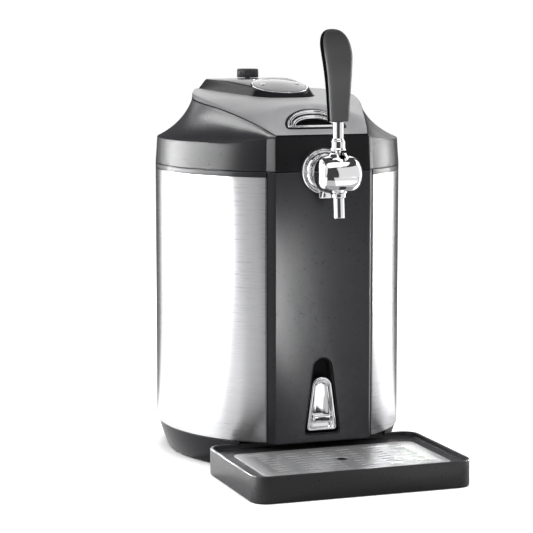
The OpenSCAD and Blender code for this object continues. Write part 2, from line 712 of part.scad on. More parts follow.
module tap_nut() color([0.7, 0.7, 0.71]) translate([0, -flat_y + wall + 8.3, tap_z])
    rotate([90, 0, 0]) difference() {
        cylinder(h = 7, r = 15, $fn = 6);
        up(-1) cylinder(h = 9, r = shank_r + run, $fn = 48);
    }

barrel_half = 19.6;
bore_r = 7.04;
boss_h = 22.5;
swing = 30;
spout_tilt = 5;

module tap_body() color([0.88, 0.88, 0.89]) difference() {
    union() {
        translate([0, tap_y, tap_z]) rotate([0, 90, 0]) rotate_extrude($fn = 96)
            polygon([[0, -barrel_half], [barrel_r - 4.4, -barrel_half], [barrel_r - 2.2, -barrel_half + 2.3],
                [barrel_r - 0.7, -barrel_half + 5], [barrel_r, -barrel_half + 8.5],
                [barrel_r, barrel_half - 8.5], [barrel_r - 0.7, barrel_half - 5],
                [barrel_r - 2.2, barrel_half - 2.3], [barrel_r - 4.4, barrel_half], [0, barrel_half]]);
        rod_y(0, tap_z, tap_y + 8, flange_y - 10.5, 9);
        translate([0, tap_y, tap_z]) rotate([-spout_tilt, 0, 0]) up(-25)
            cylinder(h = 12, r = 7.75, $fn = 64);
        translate([0, tap_y, tap_z + 14]) cylinder(h = boss_h - 14, r1 = 12, r2 = 9, $fn = 64);
    }
    rod_x(tap_y, tap_z, -barrel_half - 1, barrel_half + 1, bore_r);
    rod_y(0, tap_z, tap_y, -150, 4);
    translate([0, tap_y, tap_z]) rotate([-spout_tilt, 0, 0]) up(-30)
        cylinder(h = 28, r = 4, $fn = 32);
    // slot in which the stem swings forward
    translate([0, tap_y, tap_z]) for (a = [0:7.5:swing]) rotate([a, 0, 0])
        cylinder(h = 30, r = 3.4, $fn = 32);
}

module tap_caps() color([0.88, 0.88, 0.89]) for (s = [-1, 1])
    translate([s * (barrel_half + 0.1), tap_y, tap_z]) rotate([0, s * 90, 0])
        rotate_extrude($fn = 96) polygon([[0, 0], [barrel_r - 4.5, 0], [barrel_r - 6.2, 1.8],
            [barrel_r - 8.6, 3], [barrel_r - 12.5, 3.9], [0, 4.3]]);

module tap_spout() color([0.88, 0.88, 0.89]) translate([0, tap_y, tap_z])
    rotate([-spout_tilt, 0, 0]) up(-46.2) difference() {
        cylinder(h = 21, r = 6, $fn = 64);
        up(-1) cylinder(h = 23, r = 4.2, $fn = 48);
    }

module valve_spindle() color([0.8, 0.8, 0.82]) difference() {
    rod_x(tap_y, tap_z, -barrel_half + 0.2, barrel_half - 0.2, bore_r - run);
    translate([0, tap_y, tap_z]) rotate([-60, 0, 0]) cylinder(h = 20, r = 2.5, center = true, $fn = 32);
}

stem_r = 5.75;
collar_low = 350;
collar_top = 362;

module tap_stem() color([0.88, 0.88, 0.89]) translate([0, tap_y, 0]) {
    up(tap_z + bore_r - 0.2) cylinder(h = collar_low - tap_z - bore_r + 1, r = 3, $fn = 32);
    up(collar_low) cylinder(h = 2, r1 = 8.6, r2 = 7.6, $fn = 64);
    up(collar_low + 2) cylinder(h = collar_top - collar_low - 2, r = 7.6, $fn = 64);
    up(collar_top) cylinder(h = 380 - collar_top, r = stem_r, $fn = 64);
    up(380) cylinder(h = 14, r = 3, $fn = 32);
}

// Cross-section of the grip: half width, half depth, lean to the back, by height
grip_rows = [[380, 10.6, 6.8, 0], [400, 11.7, 7.2, 0], [420, 13, 7.6, 0.6], [438, 14.6, 8.2, 2.4],
    [452, 15.6, 8.6, 6], [463, 15, 8.2, 11], [471, 12, 6.6, 15.5]];

function grip_ring(row, n = 24) = [for (k = [0:n - 1]) let (a = 360 * k / n, c = cos(a), s = sin(a),
    q = pow(pow(abs(c), 5) + pow(abs(s), 5), -1 / 5))
    [row[1] * q * c, tap_y + row[3] + row[2] * q * s, row[0]]];

module handle_grip() color([0.12, 0.12, 0.12]) {
    top = [0, tap_y + 18.5, handle_top];
    n = 24;
    m = len(grip_rows);
    pts = concat([for (r = grip_rows) for (p = grip_ring(r, n)) p], [[0, tap_y, grip_rows[0][0]], top]);
    sides = [for (i = [0:m - 2]) for (j = [0:n - 1]) for (k = [0:1])
        let (a = i * n + j, b = i * n + (j + 1) % n) k == 0 ? [a, a + n, b + n] : [a, b + n, b]];
    ends = [for (j = [0:n - 1]) for (k = [0:1]) let (a = j, b = (j + 1) % n, c = (m - 1) * n)
        k == 0 ? [a, b, m * n] : [c + b, c + a, m * n + 1]];
    polyhedron(pts, concat(sides, ends));
}

// Moves every piece from the body's axis to the part's own origin
module placed() {
    translate([0, body_y, 0]) children();
}

placed() base_ring();
placed() base_plate();
placed() rubber_feet();
placed() body_frame();
placed() steel_panel_left();
placed() steel_panel_right();
placed() front_panel();
placed() rear_cover();
placed() lever_pocket();
placed() release_lever();
placed() lever_pin();
placed() lever_spring();
placed() drip_tray();
placed() drip_grille();
placed() insulation_foam();
placed() cooling_liner();
placed() chamber_neck();
placed() lid_gasket();
placed() keg_shell();
placed() keg_bung();
placed() spear_tube();
placed() tapping_head();
placed() beer_hose();
placed() co2_cartridge();
placed() co2_regulator();
placed() co2_hose();
placed() cold_block();
placed() peltier_module();
placed() heatsink();
placed() fan_frame();
placed() fan_rotor();
placed() control_board();
placed() power_inlet();
placed() power_switch();
placed() top_housing();
placed() hinge_bracket();
placed() hinge_pin();
placed() lid_hinge_arm();
placed() lid_cover();
placed() lid_liner();
placed() display_pod();
placed() display_bezel();
placed() display_glass();
placed() display_board();
placed() button_left();
placed() button_right();
placed() rotary_control();
placed() top_knob();
placed() latch_cup();
placed() latch_frame();
placed() latch_paddle();
placed() tap_flange();
placed() tap_nut();
placed() tap_body();
placed() tap_caps();
placed() tap_spout();
placed() valve_spindle();
placed() tap_stem();
placed() handle_grip();
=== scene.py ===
"""Looks of the countertop beer dispenser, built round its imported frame.

Shapes are worked out in millimetres on the body's own axis (x right, y back, z up) and are
moved to the frame, in metres, when their mesh is made.
"""

import json
from math import acos, atan, atan2, cos, degrees, hypot, pi, radians, sin, sqrt, tan

import bmesh
import bpy
import numpy as np
from mathutils import Matrix, Vector

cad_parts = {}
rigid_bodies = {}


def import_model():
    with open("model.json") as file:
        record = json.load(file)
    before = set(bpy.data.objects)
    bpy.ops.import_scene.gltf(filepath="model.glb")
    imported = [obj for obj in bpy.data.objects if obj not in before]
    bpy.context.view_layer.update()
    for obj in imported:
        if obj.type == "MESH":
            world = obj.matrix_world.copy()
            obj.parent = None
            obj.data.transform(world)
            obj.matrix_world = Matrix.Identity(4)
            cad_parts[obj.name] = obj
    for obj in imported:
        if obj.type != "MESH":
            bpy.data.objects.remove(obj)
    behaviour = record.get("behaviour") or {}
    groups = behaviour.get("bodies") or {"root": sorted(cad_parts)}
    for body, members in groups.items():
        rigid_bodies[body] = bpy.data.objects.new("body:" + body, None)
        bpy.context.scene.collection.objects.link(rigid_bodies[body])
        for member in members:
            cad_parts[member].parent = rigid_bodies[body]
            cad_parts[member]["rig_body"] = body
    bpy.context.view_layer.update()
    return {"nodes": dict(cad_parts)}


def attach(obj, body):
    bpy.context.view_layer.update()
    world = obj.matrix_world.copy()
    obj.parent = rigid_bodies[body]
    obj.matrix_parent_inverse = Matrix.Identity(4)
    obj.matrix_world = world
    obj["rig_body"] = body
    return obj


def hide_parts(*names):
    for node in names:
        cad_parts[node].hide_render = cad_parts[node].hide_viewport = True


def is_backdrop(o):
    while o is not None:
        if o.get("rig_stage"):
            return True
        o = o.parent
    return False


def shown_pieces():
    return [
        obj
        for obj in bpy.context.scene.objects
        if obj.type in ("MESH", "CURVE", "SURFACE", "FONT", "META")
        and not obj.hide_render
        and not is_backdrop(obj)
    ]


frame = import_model()
nodes = frame["nodes"]

AXIS_Y = 63.0  # the body's axis lies this far behind the frame's origin

# ---------------- sizes shared with the frame
BODY_RX, BODY_RY = 135.0, 155.0
SEAM_Z, BASE_H, WALL, STEEL_T = 325.0, 32.0, 3.0, 0.8
FLAT_X, FLAT_Y, CORNER_X = 54.2, 147.3, 61.1
CORNER_Y = BODY_RY * sqrt(1 - (CORNER_X / BODY_RX) ** 2)
OVAL_A = degrees(atan(CORNER_X / CORNER_Y))
STEEL_Z = (BASE_H + 1, SEAM_Z - 6)
LID_R, TONGUE, LID_CORNER = 95.0, (52.7, 143.3), (55.0, 125.0)
DISC_Y, DISC_Z, DISC_TILT, GLASS_R = -11.0, 411.0, 12.0, 30.0
TAP_Y, TAP_Z = -189.0, SEAM_Z
FLANGE_Y = -FLAT_Y - 0.4


def clamp01(t):
    return min(1.0, max(0.0, t))


def smooth(t):
    t = clamp01(t)
    return t * t * (3 - 2 * t)


def sind(a):
    return sin(radians(a))


def cosd(a):
    return cos(radians(a))


def polar(r, a):
    return r * sind(a), -r * cosd(a)


def around(a, section):
    """Points of an upright section, as radius and height, at the angle a round the body."""
    return [(*polar(r, a), z) for r, z in section]


def oval_r(a):
    return 1 / hypot(sind(a) / BODY_RX, cosd(a) / BODY_RY)


def tangent_r(a, corner):
    ca = degrees(atan2(corner[0], corner[1]))
    ta = ca + degrees(acos(LID_R / hypot(*corner)))
    if a < ca:
        return corner[1] / cosd(a)
    return LID_R / cosd(a - ta) if a < ta else LID_R


def seam_r(a):
    b = a % 360
    b = 360 - b if b > 180 else b
    return tangent_r(b, TONGUE) if b < 90 else tangent_r(180 - b, LID_CORNER)


def seam_z(y):
    return 361.4 + 38 * (1 - (1 - clamp01((y + 147) / 272)) ** 2.6)


def ridge_z(y):
    return 362.8 + 25 * smooth((y + 140) / 45) + 18 * (1 - (1 - clamp01((y + 145) / 270)) ** 2.4)


def lid_half_w(y):
    if y < -28:
        return 90.8 - (90.8 - TONGUE[0]) * (-28 - y) / (TONGUE[1] - 28)
    return sqrt(LID_R**2 - y * y) if y < 33 else 89.1 - 34.1 * (y - 33) / (LID_CORNER[1] - 33)


def lid_z(x, y):
    band = min(8 * sind(90 * clamp01((y + 147) / 70)), 2.2 + 5.8 * sind(90 * clamp01((y + 60) / 150)))
    band -= 3 * clamp01(y / 120)
    rise = ridge_z(y) - seam_z(y) - band
    return ridge_z(y) - rise * min(1.0, abs(x) / lid_half_w(y)) ** 2


def pod_pt(a, r0, r1):
    u = Vector((sind(a), -cosd(a)))
    c0, c1 = Vector((0, DISC_Y)), Vector((-42.0 if u.x < 0 else 42.0, 102.0))
    return c0 + r0 * u if c0.dot(u) + r0 > c1.dot(u) + r1 else c1 + r1 * u


def pod_z(y):
    return 403 + 4 * smooth((y + 49) / 35) + 9 * smooth((y + 40) / 100)


def disc_plane(y):
    return DISC_Z + (y - DISC_Y) * tan(radians(DISC_TILT))


# ---------------- mesh tools
class Shape:
    """Vertices in millimetres and faces of a piece that's still being built."""

    def __init__(self):
        self.verts, self.faces = [], []

    def add(self, verts, faces, place=None):
        start = len(self.verts)
        self.verts += [tuple(place @ Vector(v)) if place else tuple(v) for v in verts]
        self.faces += [tuple(start + i for i in f) for f in faces]
        return self

    def grid(self, rings, wrap_rings=False, caps=True, place=None):
        """Skin over rings of points, each of which closes on itself."""
        n, m = len(rings), len(rings[0])
        faces = [(i * m + j, i * m + (j + 1) % m, (i + 1) % n * m + (j + 1) % m, (i + 1) % n * m + j)
                 for i in range(n if wrap_rings else n - 1) for j in range(m)]
        if caps and not wrap_rings:
            faces += [tuple(range(m))[::-1], tuple((n - 1) * m + j for j in range(m))]
        return self.add([p for r in rings for p in r], faces, place)

    def turn(self, profile, place=None, n=128):
        """Solid of revolution of [radius, height] about z."""
        rings = [[(r * cos(2 * pi * k / n), r * sin(2 * pi * k / n), z) for k in range(n)]
                 for r, z in profile]
        return self.grid(rings, caps=False, place=place)

    def prism(self, outline, z0, z1, r0=0.5, r1=0.5, place=None, steps=4):
        """Upright wall over a plan, with rounded lower and upper edges."""
        low, high = ([pi / 2 * k / steps for k in range(steps + 1 if r else 1)] for r in (r0, r1))
        rings = [(r0 * (1 - sin(t)), z0 + r0 * (1 - cos(t))) for t in low]
        rings += [(r1 * (1 - cos(t)), z1 - r1 * (1 - sin(t))) for t in high]
        return self.grid([[(x, y, z) for x, y in inset(outline, d)] for d, z in rings], place=place)


def fillet(points, radii, steps=4, closed=True):
    """Polyline with its corners rounded. A radius of 0 keeps the point."""
    out, n = [], len(points)
    for i in range(n):
        p, r = Vector(points[i]), radii[i] if isinstance(radii, (list, tuple)) else radii
        if r <= 0 or (not closed and i in (0, n - 1)):
            out.append(tuple(p))
            continue
        a, b = Vector(points[i - 1]) - p, Vector(points[(i + 1) % n]) - p
        la, lb = a.length, b.length
        a.normalize()
        b.normalize()
        half = a.angle(b) / 2
        d = min(r / max(tan(half), 1e-6), 0.49 * la, 0.49 * lb)
        if half > pi / 2 - 1e-4:
            out += [tuple(p + (a if k < steps / 2 else b) * d * abs(1 - 2 * k / steps))
                    for k in range(steps + 1)]
            continue
        c = p + (a + b).normalized() * (d * tan(half) / sin(half))
        v0, v1 = p + a * d - c, p + b * d - c
        t0 = atan2(v0.y, v0.x)
        turn = (atan2(v1.y, v1.x) - t0 + pi) % (2 * pi) - pi
        rad = v0.length
        out += [(c.x + rad * cos(t0 + turn * k / steps), c.y + rad * sin(t0 + turn * k / steps))
                for k in range(steps + 1)]
    return out


def inset(outline, d):
    """Plan moved inwards by d along its own normals."""
    p = np.array(outline, float)
    if not d:
        return p.tolist()
    q = np.roll(p, 1, 0)
    area = np.sum(q[:, 0] * p[:, 1] - p[:, 0] * q[:, 1])
    e = np.roll(p, -1, 0) - p
    keep = np.hypot(e[:, 0], e[:, 1]) > 1e-9
    e[~keep] = np.roll(e, -1, 0)[~keep]
    e /= np.hypot(e[:, 0], e[:, 1])[:, None]
    f = np.roll(e, 1, 0)
    n0, n1 = np.c_[-e[:, 1], e[:, 0]], np.c_[-f[:, 1], f[:, 0]]
    m = n0 + n1
    m /= np.maximum((m * n0).sum(1), 0.3)[:, None]
    return (p + m * d * (1 if area > 0 else -1)).tolist()


def place_at(x, y, z, turn_x=0.0, turn_y=0.0, turn_z=0.0):
    return (Matrix.Translation((x, y, z)) @ Matrix.Rotation(radians(turn_z), 4, "Z")
            @ Matrix.Rotation(radians(turn_y), 4, "Y") @ Matrix.Rotation(radians(turn_x), 4, "X"))


FORWARD = place_at(0, 0, TAP_Z, 90)  # local z points out of the front, local x stays
ALONG_X = place_at(0, TAP_Y, TAP_Z, 0, 90)
DISC = place_at(0, DISC_Y, DISC_Z, DISC_TILT)
SLOPE = place_at(0, -127.5, 369.6, 43.6)
UPRIGHT = Matrix(((1, 0, 0, 0), (0, 0, 1, 0), (0, 1, 0, 0), (0, 0, 0, 1)))  # plan x, z; height along y


def finish_mesh(obj, sharp=40.0):
    me = obj.data
    for p in me.polygons:
        p.use_smooth = True
    me.set_sharp_from_angle(angle=radians(sharp))
    me.update()


def make_object(name, shape):
    me = bpy.data.meshes.new(name)
    v = (np.array(shape.verts, float) + (0, AXIS_Y, 0)) / 1000
    me.from_pydata(v.tolist(), [], shape.faces)
    obj = bpy.data.objects.new(name, me)
    bpy.context.scene.collection.objects.link(obj)
    clean(obj)
    return obj


def clean(obj, weld=2e-6):
    bm = bmesh.new()
    bm.from_mesh(obj.data)
    bmesh.ops.remove_doubles(bm, verts=bm.verts, dist=weld)
    bmesh.ops.dissolve_degenerate(bm, dist=1e-7, edges=bm.edges)
    bmesh.ops.recalc_face_normals(bm, faces=bm.faces)
    bm.to_mesh(obj.data)
    bm.free()


def settle(obj):
    """Applies the object's modifiers to its mesh."""
    dg = bpy.context.evaluated_depsgraph_get()
    me = bpy.data.meshes.new_from_object(obj.evaluated_get(dg))
    obj.modifiers.clear()
    obj.data = me


def cut(obj, *cutters):
    """Takes the cutters' solids away from obj."""
    for c in cutters:
        tool = make_object("cutter", c)
        mod = obj.modifiers.new("cut", "BOOLEAN")
        mod.operation, mod.solver, mod.object = "DIFFERENCE", "EXACT", tool
        settle(obj)
        bpy.data.objects.remove(tool)
    return obj


def dress(obj, finish, body, stands_for="", sharp=40.0, slot=None):
    """Gives a finished mesh its finish and its place in the frame."""
    finish_mesh(obj, sharp)
    obj.data.materials.clear()
    obj.data.materials.append(M[finish])
    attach(obj, body)
    if stands_for:
        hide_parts(stands_for)


def piece(name, shape, *look):
    dress(make_object(name, shape), *look)


def refine(node, finish, width):
    """Copy of a CAD node with welded, rounded edges, standing for that node."""
    obj = bpy.data.objects.new(node + "_shape", nodes[node].data.copy())
    bpy.context.scene.collection.objects.link(obj)
    clean(obj, 5e-6)
    bm = bmesh.new()
    bm.from_mesh(obj.data)
    bmesh.ops.dissolve_limit(bm, angle_limit=radians(1.0), verts=bm.verts, edges=bm.edges)
    bm.to_mesh(obj.data)
    bm.free()
    mod = obj.modifiers.new("bevel", "BEVEL")
    mod.width, mod.segments, mod.limit_method = width / 1000, 2, "ANGLE"
    mod.angle_limit, mod.use_clamp_overlap, mod.miter_outer = radians(30), True, "MITER_ARC"
    settle(obj)
    dress(obj, finish, nodes[node]["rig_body"], node)


# ---------------- materials
class Finish:
    """Small builder of a node material on one Principled shader."""

    def __init__(self, name, color, rough, metal=0.0, **sockets):
        self.mat = bpy.data.materials.new(name)
        self.mat.use_nodes = True
        self.tree = self.mat.node_tree
        self.shader = self.tree.nodes["Principled BSDF"]
        self.color = color
        self.shader.inputs["Base Color"].default_value = (*color, 1)
        self.shader.inputs["Roughness"].default_value = rough
        self.shader.inputs["Metallic"].default_value = metal
        for k, v in sockets.items():
            self.shader.inputs[k.replace("_", " ")].default_value = v
        self.where = self.node("ShaderNodeTexCoord").outputs["Object"]
        self.height = None

    def node(self, kind, **values):
        n = self.tree.nodes.new(kind)
        for k, v in values.items():
            name = k.replace("_", " ")
            if name in n.inputs:
                n.inputs[name].default_value = v
            else:
                setattr(n, k, v)
        return n

    def link(self, a, b):
        self.tree.links.new(a, b)

    def noise(self, scale, detail=3.0, stretch=(1, 1, 1), roughness=0.5):
        m = self.node("ShaderNodeMapping")
        m.inputs["Scale"].default_value = stretch
        self.link(self.where, m.inputs["Vector"])
        n = self.node("ShaderNodeTexNoise", Scale=scale, Detail=detail, Roughness=roughness)
        self.link(m.outputs["Vector"], n.inputs["Vector"])
        return n.outputs["Fac"]

    def between(self, fac, low, high, start=0.3, end=0.7):
        n = self.node("ShaderNodeMapRange")
        n.inputs["From Min"].default_value, n.inputs["From Max"].default_value = start, end
        n.inputs["To Min"].default_value, n.inputs["To Max"].default_value = low, high
        self.link(fac, n.inputs["Value"])
        return n.outputs["Result"]

    def mix(self, fac, a, b):
        n = self.node("ShaderNodeMix", data_type="RGBA")
        self.link(fac, n.inputs["Factor"])
        for s, v in ((n.inputs[6], a), (n.inputs[7], b)):
            if isinstance(v, tuple):
                s.default_value = (*v, 1)
            else:
                self.link(v, s)
        return n.outputs[2]

    def tint(self, fac, low, high):
        """Base colour between two shares of the finish's own colour."""
        c = self.mix(fac, tuple(x * low for x in self.color), tuple(min(1, x * high) for x in self.color))
        self.link(c, self.shader.inputs["Base Color"])

    def roughness(self, value):
        self.link(value, self.shader.inputs["Roughness"])

    def bump(self, height, distance, strength=1.0):
        n = self.node("ShaderNodeBump", Strength=strength, Distance=distance / 1000)
        self.link(height, n.inputs["Height"])
        if self.height is not None:
            self.link(self.height, n.inputs["Normal"])
        self.height = n.outputs["Normal"]
        self.link(self.height, self.shader.inputs["Normal"])

    def worn_edges(self):
        """Edges that handling has rubbed a little smoother and lighter."""
        g = self.node("ShaderNodeNewGeometry")
        edge = self.between(g.outputs["Pointiness"], 0.0, 1.0, 0.52, 0.62)
        spots = self.between(self.noise(160, 4), 0.2, 1.0)
        m = self.node("ShaderNodeMath", operation="MULTIPLY")
        self.link(edge, m.inputs[0])
        self.link(spots, m.inputs[1])
        return m.outputs[0]


def moulded(name, color, rough, grain=700, depth=0.02, spread=0.08, strength=0.25, spec=0.5,
             painted_top_shade=None, **sockets):
    """Moulded plastic with a spark-eroded grain, faint blotches and slightly rubbed edges.

    Its fade argument gives two heights in metres, and the share of its colour that's left above the second:
    painted shade that darkens the top of a piece as if it were turned away from the light.
    """
    f = Finish(name, color, rough, Specular_IOR_Level=spec, **sockets)
    blotch = f.noise(14, 4)
    worn = f.worn_edges()
    base = f.mix(f.between(blotch, 0, 1), tuple(c * 0.88 for c in color), tuple(c * 1.12 for c in color))
    tone = f.mix(worn, base, tuple(min(1, c * 1.25 + 0.01) for c in color))
    # Painted shade: above the first height the colour is scaled down, to the given share above the second.
    if painted_top_shade:
        low, high, left = painted_top_shade
        split, top_shade_scale = f.node("ShaderNodeSeparateXYZ"), f.node("ShaderNodeVectorMath", operation="SCALE")
        f.link(f.where, split.inputs[0])
        f.link(tone, top_shade_scale.inputs[0])
        f.link(f.between(split.outputs["Z"], 1.0, left, low, high), top_shade_scale.inputs["Scale"])
        tone = top_shade_scale.outputs["Vector"]
    f.link(tone, f.shader.inputs["Base Color"])
    f.roughness(f.between(f.noise(grain * 0.35, 3), rough - spread, rough + spread))
    f.bump(f.noise(grain, 2), depth, strength)
    return f.mat


def brushed(name, color, rough, stretch, scale=1.0, depth=0.012, metal=1.0, **sockets):
    """Brushed metal: long fine scratches along the directions that stretch leaves wide."""
    f = Finish(name, color, rough, metal, **sockets)
    fine = f.noise(1300 * scale, 2, stretch, 0.7)
    broad = f.noise(240 * scale, 3, stretch, 0.6)
    f.tint(f.between(broad, 0, 1, 0.25, 0.75), 0.97, 1.02)
    f.roughness(f.between(fine, rough - 0.05, rough + 0.06, 0.25, 0.75))
    f.bump(fine, depth, 0.3)
    return f.mat


def plated(name, color, rough, smear=0.03):
    """Polished plating with faint handling smears."""
    f = Finish(name, color, rough, 1.0)
    f.roughness(f.between(f.noise(55, 5), rough, rough + smear, 0.35, 0.8))
    f.tint(f.between(f.noise(30, 2), 0, 1), 0.97, 1.02)
    f.bump(f.noise(25, 2), 0.02, 0.15)
    return f.mat


M = {
    "black": moulded("satin_black", (0.007, 0.007, 0.008), 0.30, 900, 0.006, 0.03, spec=0.15),
    "panel": moulded("panel_black", (0.008, 0.008, 0.009), 0.30, 1000, 0.005, 0.03, spec=0.12),
    "tray": moulded("tray_black", (0.014, 0.014, 0.015), 0.30, 900, 0.008, 0.03, spec=0.45),
    "lid": moulded("lid_grey", (0.17, 0.17, 0.174), 0.34, 500, 0.002, 0.02, 0.1, spec=0.25),
    "pod": moulded("pod_black", (0.008, 0.008, 0.009), 0.15, 400, 0.002, 0.02, 0.1, spec=0.12),
    "knob": moulded("knob_grey", (0.030, 0.030, 0.032), 0.45, 900, 0.012, 0.05, spec=0.12),
    "inner": moulded("inner_black", (0.010, 0.010, 0.011), 0.5, 700, 0.02, 0.08, spec=0.2),
    # Matte black without sheen, used as painted shade: strips standing for the shaded gaps round the handle's
    # sides and under the lid's edge.
    "flank": moulded("painted_gap_shade", (0.006, 0.006, 0.007), 0.9, 1100, 0.008, 0.03, spec=0.0),
    "white": moulded("white_liner", (0.74, 0.74, 0.72), 0.42, 600, 0.02, 0.06),
    # The grip's top is painted darker, as painted shade of its head leaning back from the light.
    "grip": moulded("soft_grip", (0.078, 0.078, 0.080), 0.5, 1100, 0.008, 0.05, spec=0.15,
                    painted_top_shade=(0.425, 0.470, 0.28)),
    "rubber": moulded("rubber", (0.015, 0.015, 0.015), 0.8, 500, 0.03, 0.08, spec=0.1),
    "ceramic": moulded("ceramic", (0.80, 0.79, 0.74), 0.55, 800, 0.01),
    "steel": brushed("brushed_steel", (0.435, 0.435, 0.445), 0.30, (0.012, 0.012, 1), 1.6, 0.006,
                     Anisotropic=0.8, Anisotropic_Rotation=0.25),
    "stainless": brushed("stainless", (0.60, 0.60, 0.61), 0.26, (0.02, 1, 1), 0.8),
    "plate": brushed("satin_plate", (0.70, 0.70, 0.71), 0.30, (0.02, 1, 1), 0.8, 0.012, 0.8),
    "chrome": plated("chrome", (0.86, 0.86, 0.87), 0.04),
    "aluminium": brushed("aluminium", (0.70, 0.71, 0.73), 0.38, (1, 1, 0.03), 0.6),
    "tinplate": moulded("keg_paint", (0.52, 0.53, 0.55), 0.32, 300, 0.01, 0.06, Metallic=0.6),
    "brass": plated("brass", (0.62, 0.47, 0.20), 0.22, 0.12),
}

f = Finish("insulating_foam", (0.85, 0.82, 0.70), 0.85)
f.tint(f.between(f.noise(90, 4), 0, 1), 0.85, 1.05)
cells = f.node("ShaderNodeTexVoronoi", Scale=900.0)
f.link(f.where, cells.inputs["Vector"])
f.bump(cells.outputs["Distance"], 0.3, 0.6)
M["foam"] = f.mat

f = Finish("circuit_board", (0.03, 0.16, 0.07), 0.35)
tracks = f.node("ShaderNodeTexVoronoi", Scale=420.0, distance="MANHATTAN", feature="F1")
f.link(f.where, tracks.inputs["Vector"])
lines = f.between(tracks.outputs["Distance"], 0, 1, 0.28, 0.32)
f.link(f.mix(lines, (0.05, 0.26, 0.11), (0.02, 0.13, 0.055)), f.shader.inputs["Base Color"])
f.bump(lines, 0.03, 0.4)
M["circuit"] = f.mat

f = Finish("beer_hose", (0.72, 0.73, 0.70), 0.28, Transmission_Weight=0.35)
f.tint(f.between(f.noise(40, 3), 0, 1), 0.92, 1.04)
f.bump(f.noise(260, 2, (1, 0.1, 1)), 0.03, 0.3)
M["hose"] = f.mat

# Smoked display cover: a dark oval window in the middle and a satin edge print round it
f = Finish("smoked_glass", (0.010, 0.010, 0.011), 0.05, Coat_Weight=0.6, Coat_Roughness=0.03)
mid = f.node("ShaderNodeMapping", vector_type="POINT")
mid.inputs["Location"].default_value = (0, -(DISC_Y + AXIS_Y) / 1000 * 90, 0)
mid.inputs["Scale"].default_value = (60, 90, 0)
f.link(f.where, mid.inputs["Vector"])
far = f.node("ShaderNodeVectorMath", operation="LENGTH")
f.link(mid.outputs["Vector"], far.inputs[0])
window = f.between(far.outputs["Value"], 1, 0, 0.96, 1.04)
f.link(f.mix(window, (0.030, 0.030, 0.032), (0.006, 0.006, 0.007)), f.shader.inputs["Base Color"])
f.roughness(f.between(f.noise(70, 4), 0.03, 0.08))
M["glass"] = f.mat


# ---------------- body
def body_plan():
    """Half plan of the body from the front round its right side, then mirrored: (angle, radius)."""
    pts = [(x, -FLAT_Y) for x in range(0, 50, 6)] + [(FLAT_X, -FLAT_Y), (CORNER_X, -CORNER_Y)]
    rad = [0] * 9 + [1.6, 1.0]
    steps = 44
    for k in range(1, steps + 1):
        a = OVAL_A + (90 - OVAL_A) * k / steps
        pts.append(polar(oval_r(a), a))
        rad.append(0)
    quarter = fillet(pts, rad, 4, closed=False)
    back = [(x, -y) for x, y in quarter[::-1][1:]]
    right = quarter + back
    return right + [(-x, y) for x, y in right[::-1][1:-1]]


PLAN = [(degrees(atan2(x, -y)) % 360, hypot(x, y)) for x, y in body_plan()]


def collar_z(y):
    return 354 + 7 * clamp01((-104 - y) / 38) ** 1.4


def quad(p, q, r, t):
    return (1 - t) ** 2 * p + 2 * t * (1 - t) * q + t * t * r


def shoulder(a, r_body, t):
    r0, r1 = r_body - 2, seam_r(a)
    z0, z1 = collar_z(-r0 * cosd(a)), seam_z(-r1 * cosd(a))
    return quad(r0, r0 - 0.753 * (r0 - r1), r1, t), quad(z0, z0 + 0.344 * (z1 - z0), z1, t)


def housing_ring(a, rb):
    z_in, r1 = SEAM_Z + 0.4, seam_r(a)
    zs = seam_z(-r1 * cosd(a))
    ze = collar_z(-(rb - 2) * cosd(a))
    pts, rad = [(rb, z_in), (rb - 2, ze)], [0.6, 1.1]
    for k in range(1, 16):
        pts.append(shoulder(a, rb, k / 16))
        rad.append(0)
    pts += [(r1, zs), (r1 - 2.6, zs)]
    rad += [0.5, 0.3]
    for t in (0.8, 0.5, 0.2):
        q = shoulder(a, rb, t)
        pts.append((q[0] - WALL, q[1] - WALL))
        rad.append(0)
    pts += [(rb - WALL - 1, ze - 6), (rb - WALL - 1, z_in)]
    rad += [0, 0]
    return around(a, fillet(pts, rad, 4))


top = Shape().grid([housing_ring(a, r) for a, r in PLAN], wrap_rings=True)
piece("top_housing_shell", top, "black", "housing", "top_housing")


def sheet_ring(a, edge, top_r=0.35):
    """Section of a steel panel: an upright strip with rounded long edges."""
    t = STEEL_T / 2 - edge
    mid = [(-t, STEEL_Z[0] + edge), (t, STEEL_Z[0] + edge), (t, STEEL_Z[1] - edge), (-t, STEEL_Z[1] - edge)]
    middle = oval_r(a) - STEEL_T / 2
    return around(a, [(middle + d, z) for d, z in fillet(mid, min(top_r, 0.9 * t), 2)])


for side, name in ((-1, "left"), (1, "right")):
    span = 180 - 2 * OVAL_A
    ends = [(0, 0.3), (0.06, 0.12), (0.16, 0.0)]
    row = [(OVAL_A + d, e) for d, e in ends]
    row += [(OVAL_A + 0.6 + (span - 1.2) * k / 110, 0) for k in range(111)]
    row += [(180 - OVAL_A - d, e) for d, e in ends[::-1]]
    panel = Shape().grid([[(side * x, y, z) for x, y, z in sheet_ring(a, e)] for a, e in row])
    piece("steel_side_" + name, panel, "steel", "housing",
          "steel_panel_" + name)


def frame_section(a):
    out = oval_r(a)
    low = out - STEEL_T - 0.3
    return fillet([(low, BASE_H), (low, STEEL_Z[1] + 0.2), (out, STEEL_Z[1] + 0.2), (out, SEAM_Z),
                   (out - STEEL_T - WALL, SEAM_Z), (out - STEEL_T - WALL, BASE_H)],
                  [0, 0, 0.6, 0.6, 0, 0], 3)


gap_a = degrees(atan((CORNER_X + 0.3) / CORNER_Y))
part = Shape().grid([around(a, frame_section(a))
                     for a in [gap_a + (180 - 2 * gap_a) * k / 120 for k in range(121)]])
band = Shape()
for mirrored in (1, -1):
    band.add([(mirrored * x, y, z) for x, y, z in part.verts], part.faces)
piece("body_band", band, "black", "housing", "body_frame")

# Base under the body, open where the tray slides in
TAPER, ROOM = 10.0, 112.0


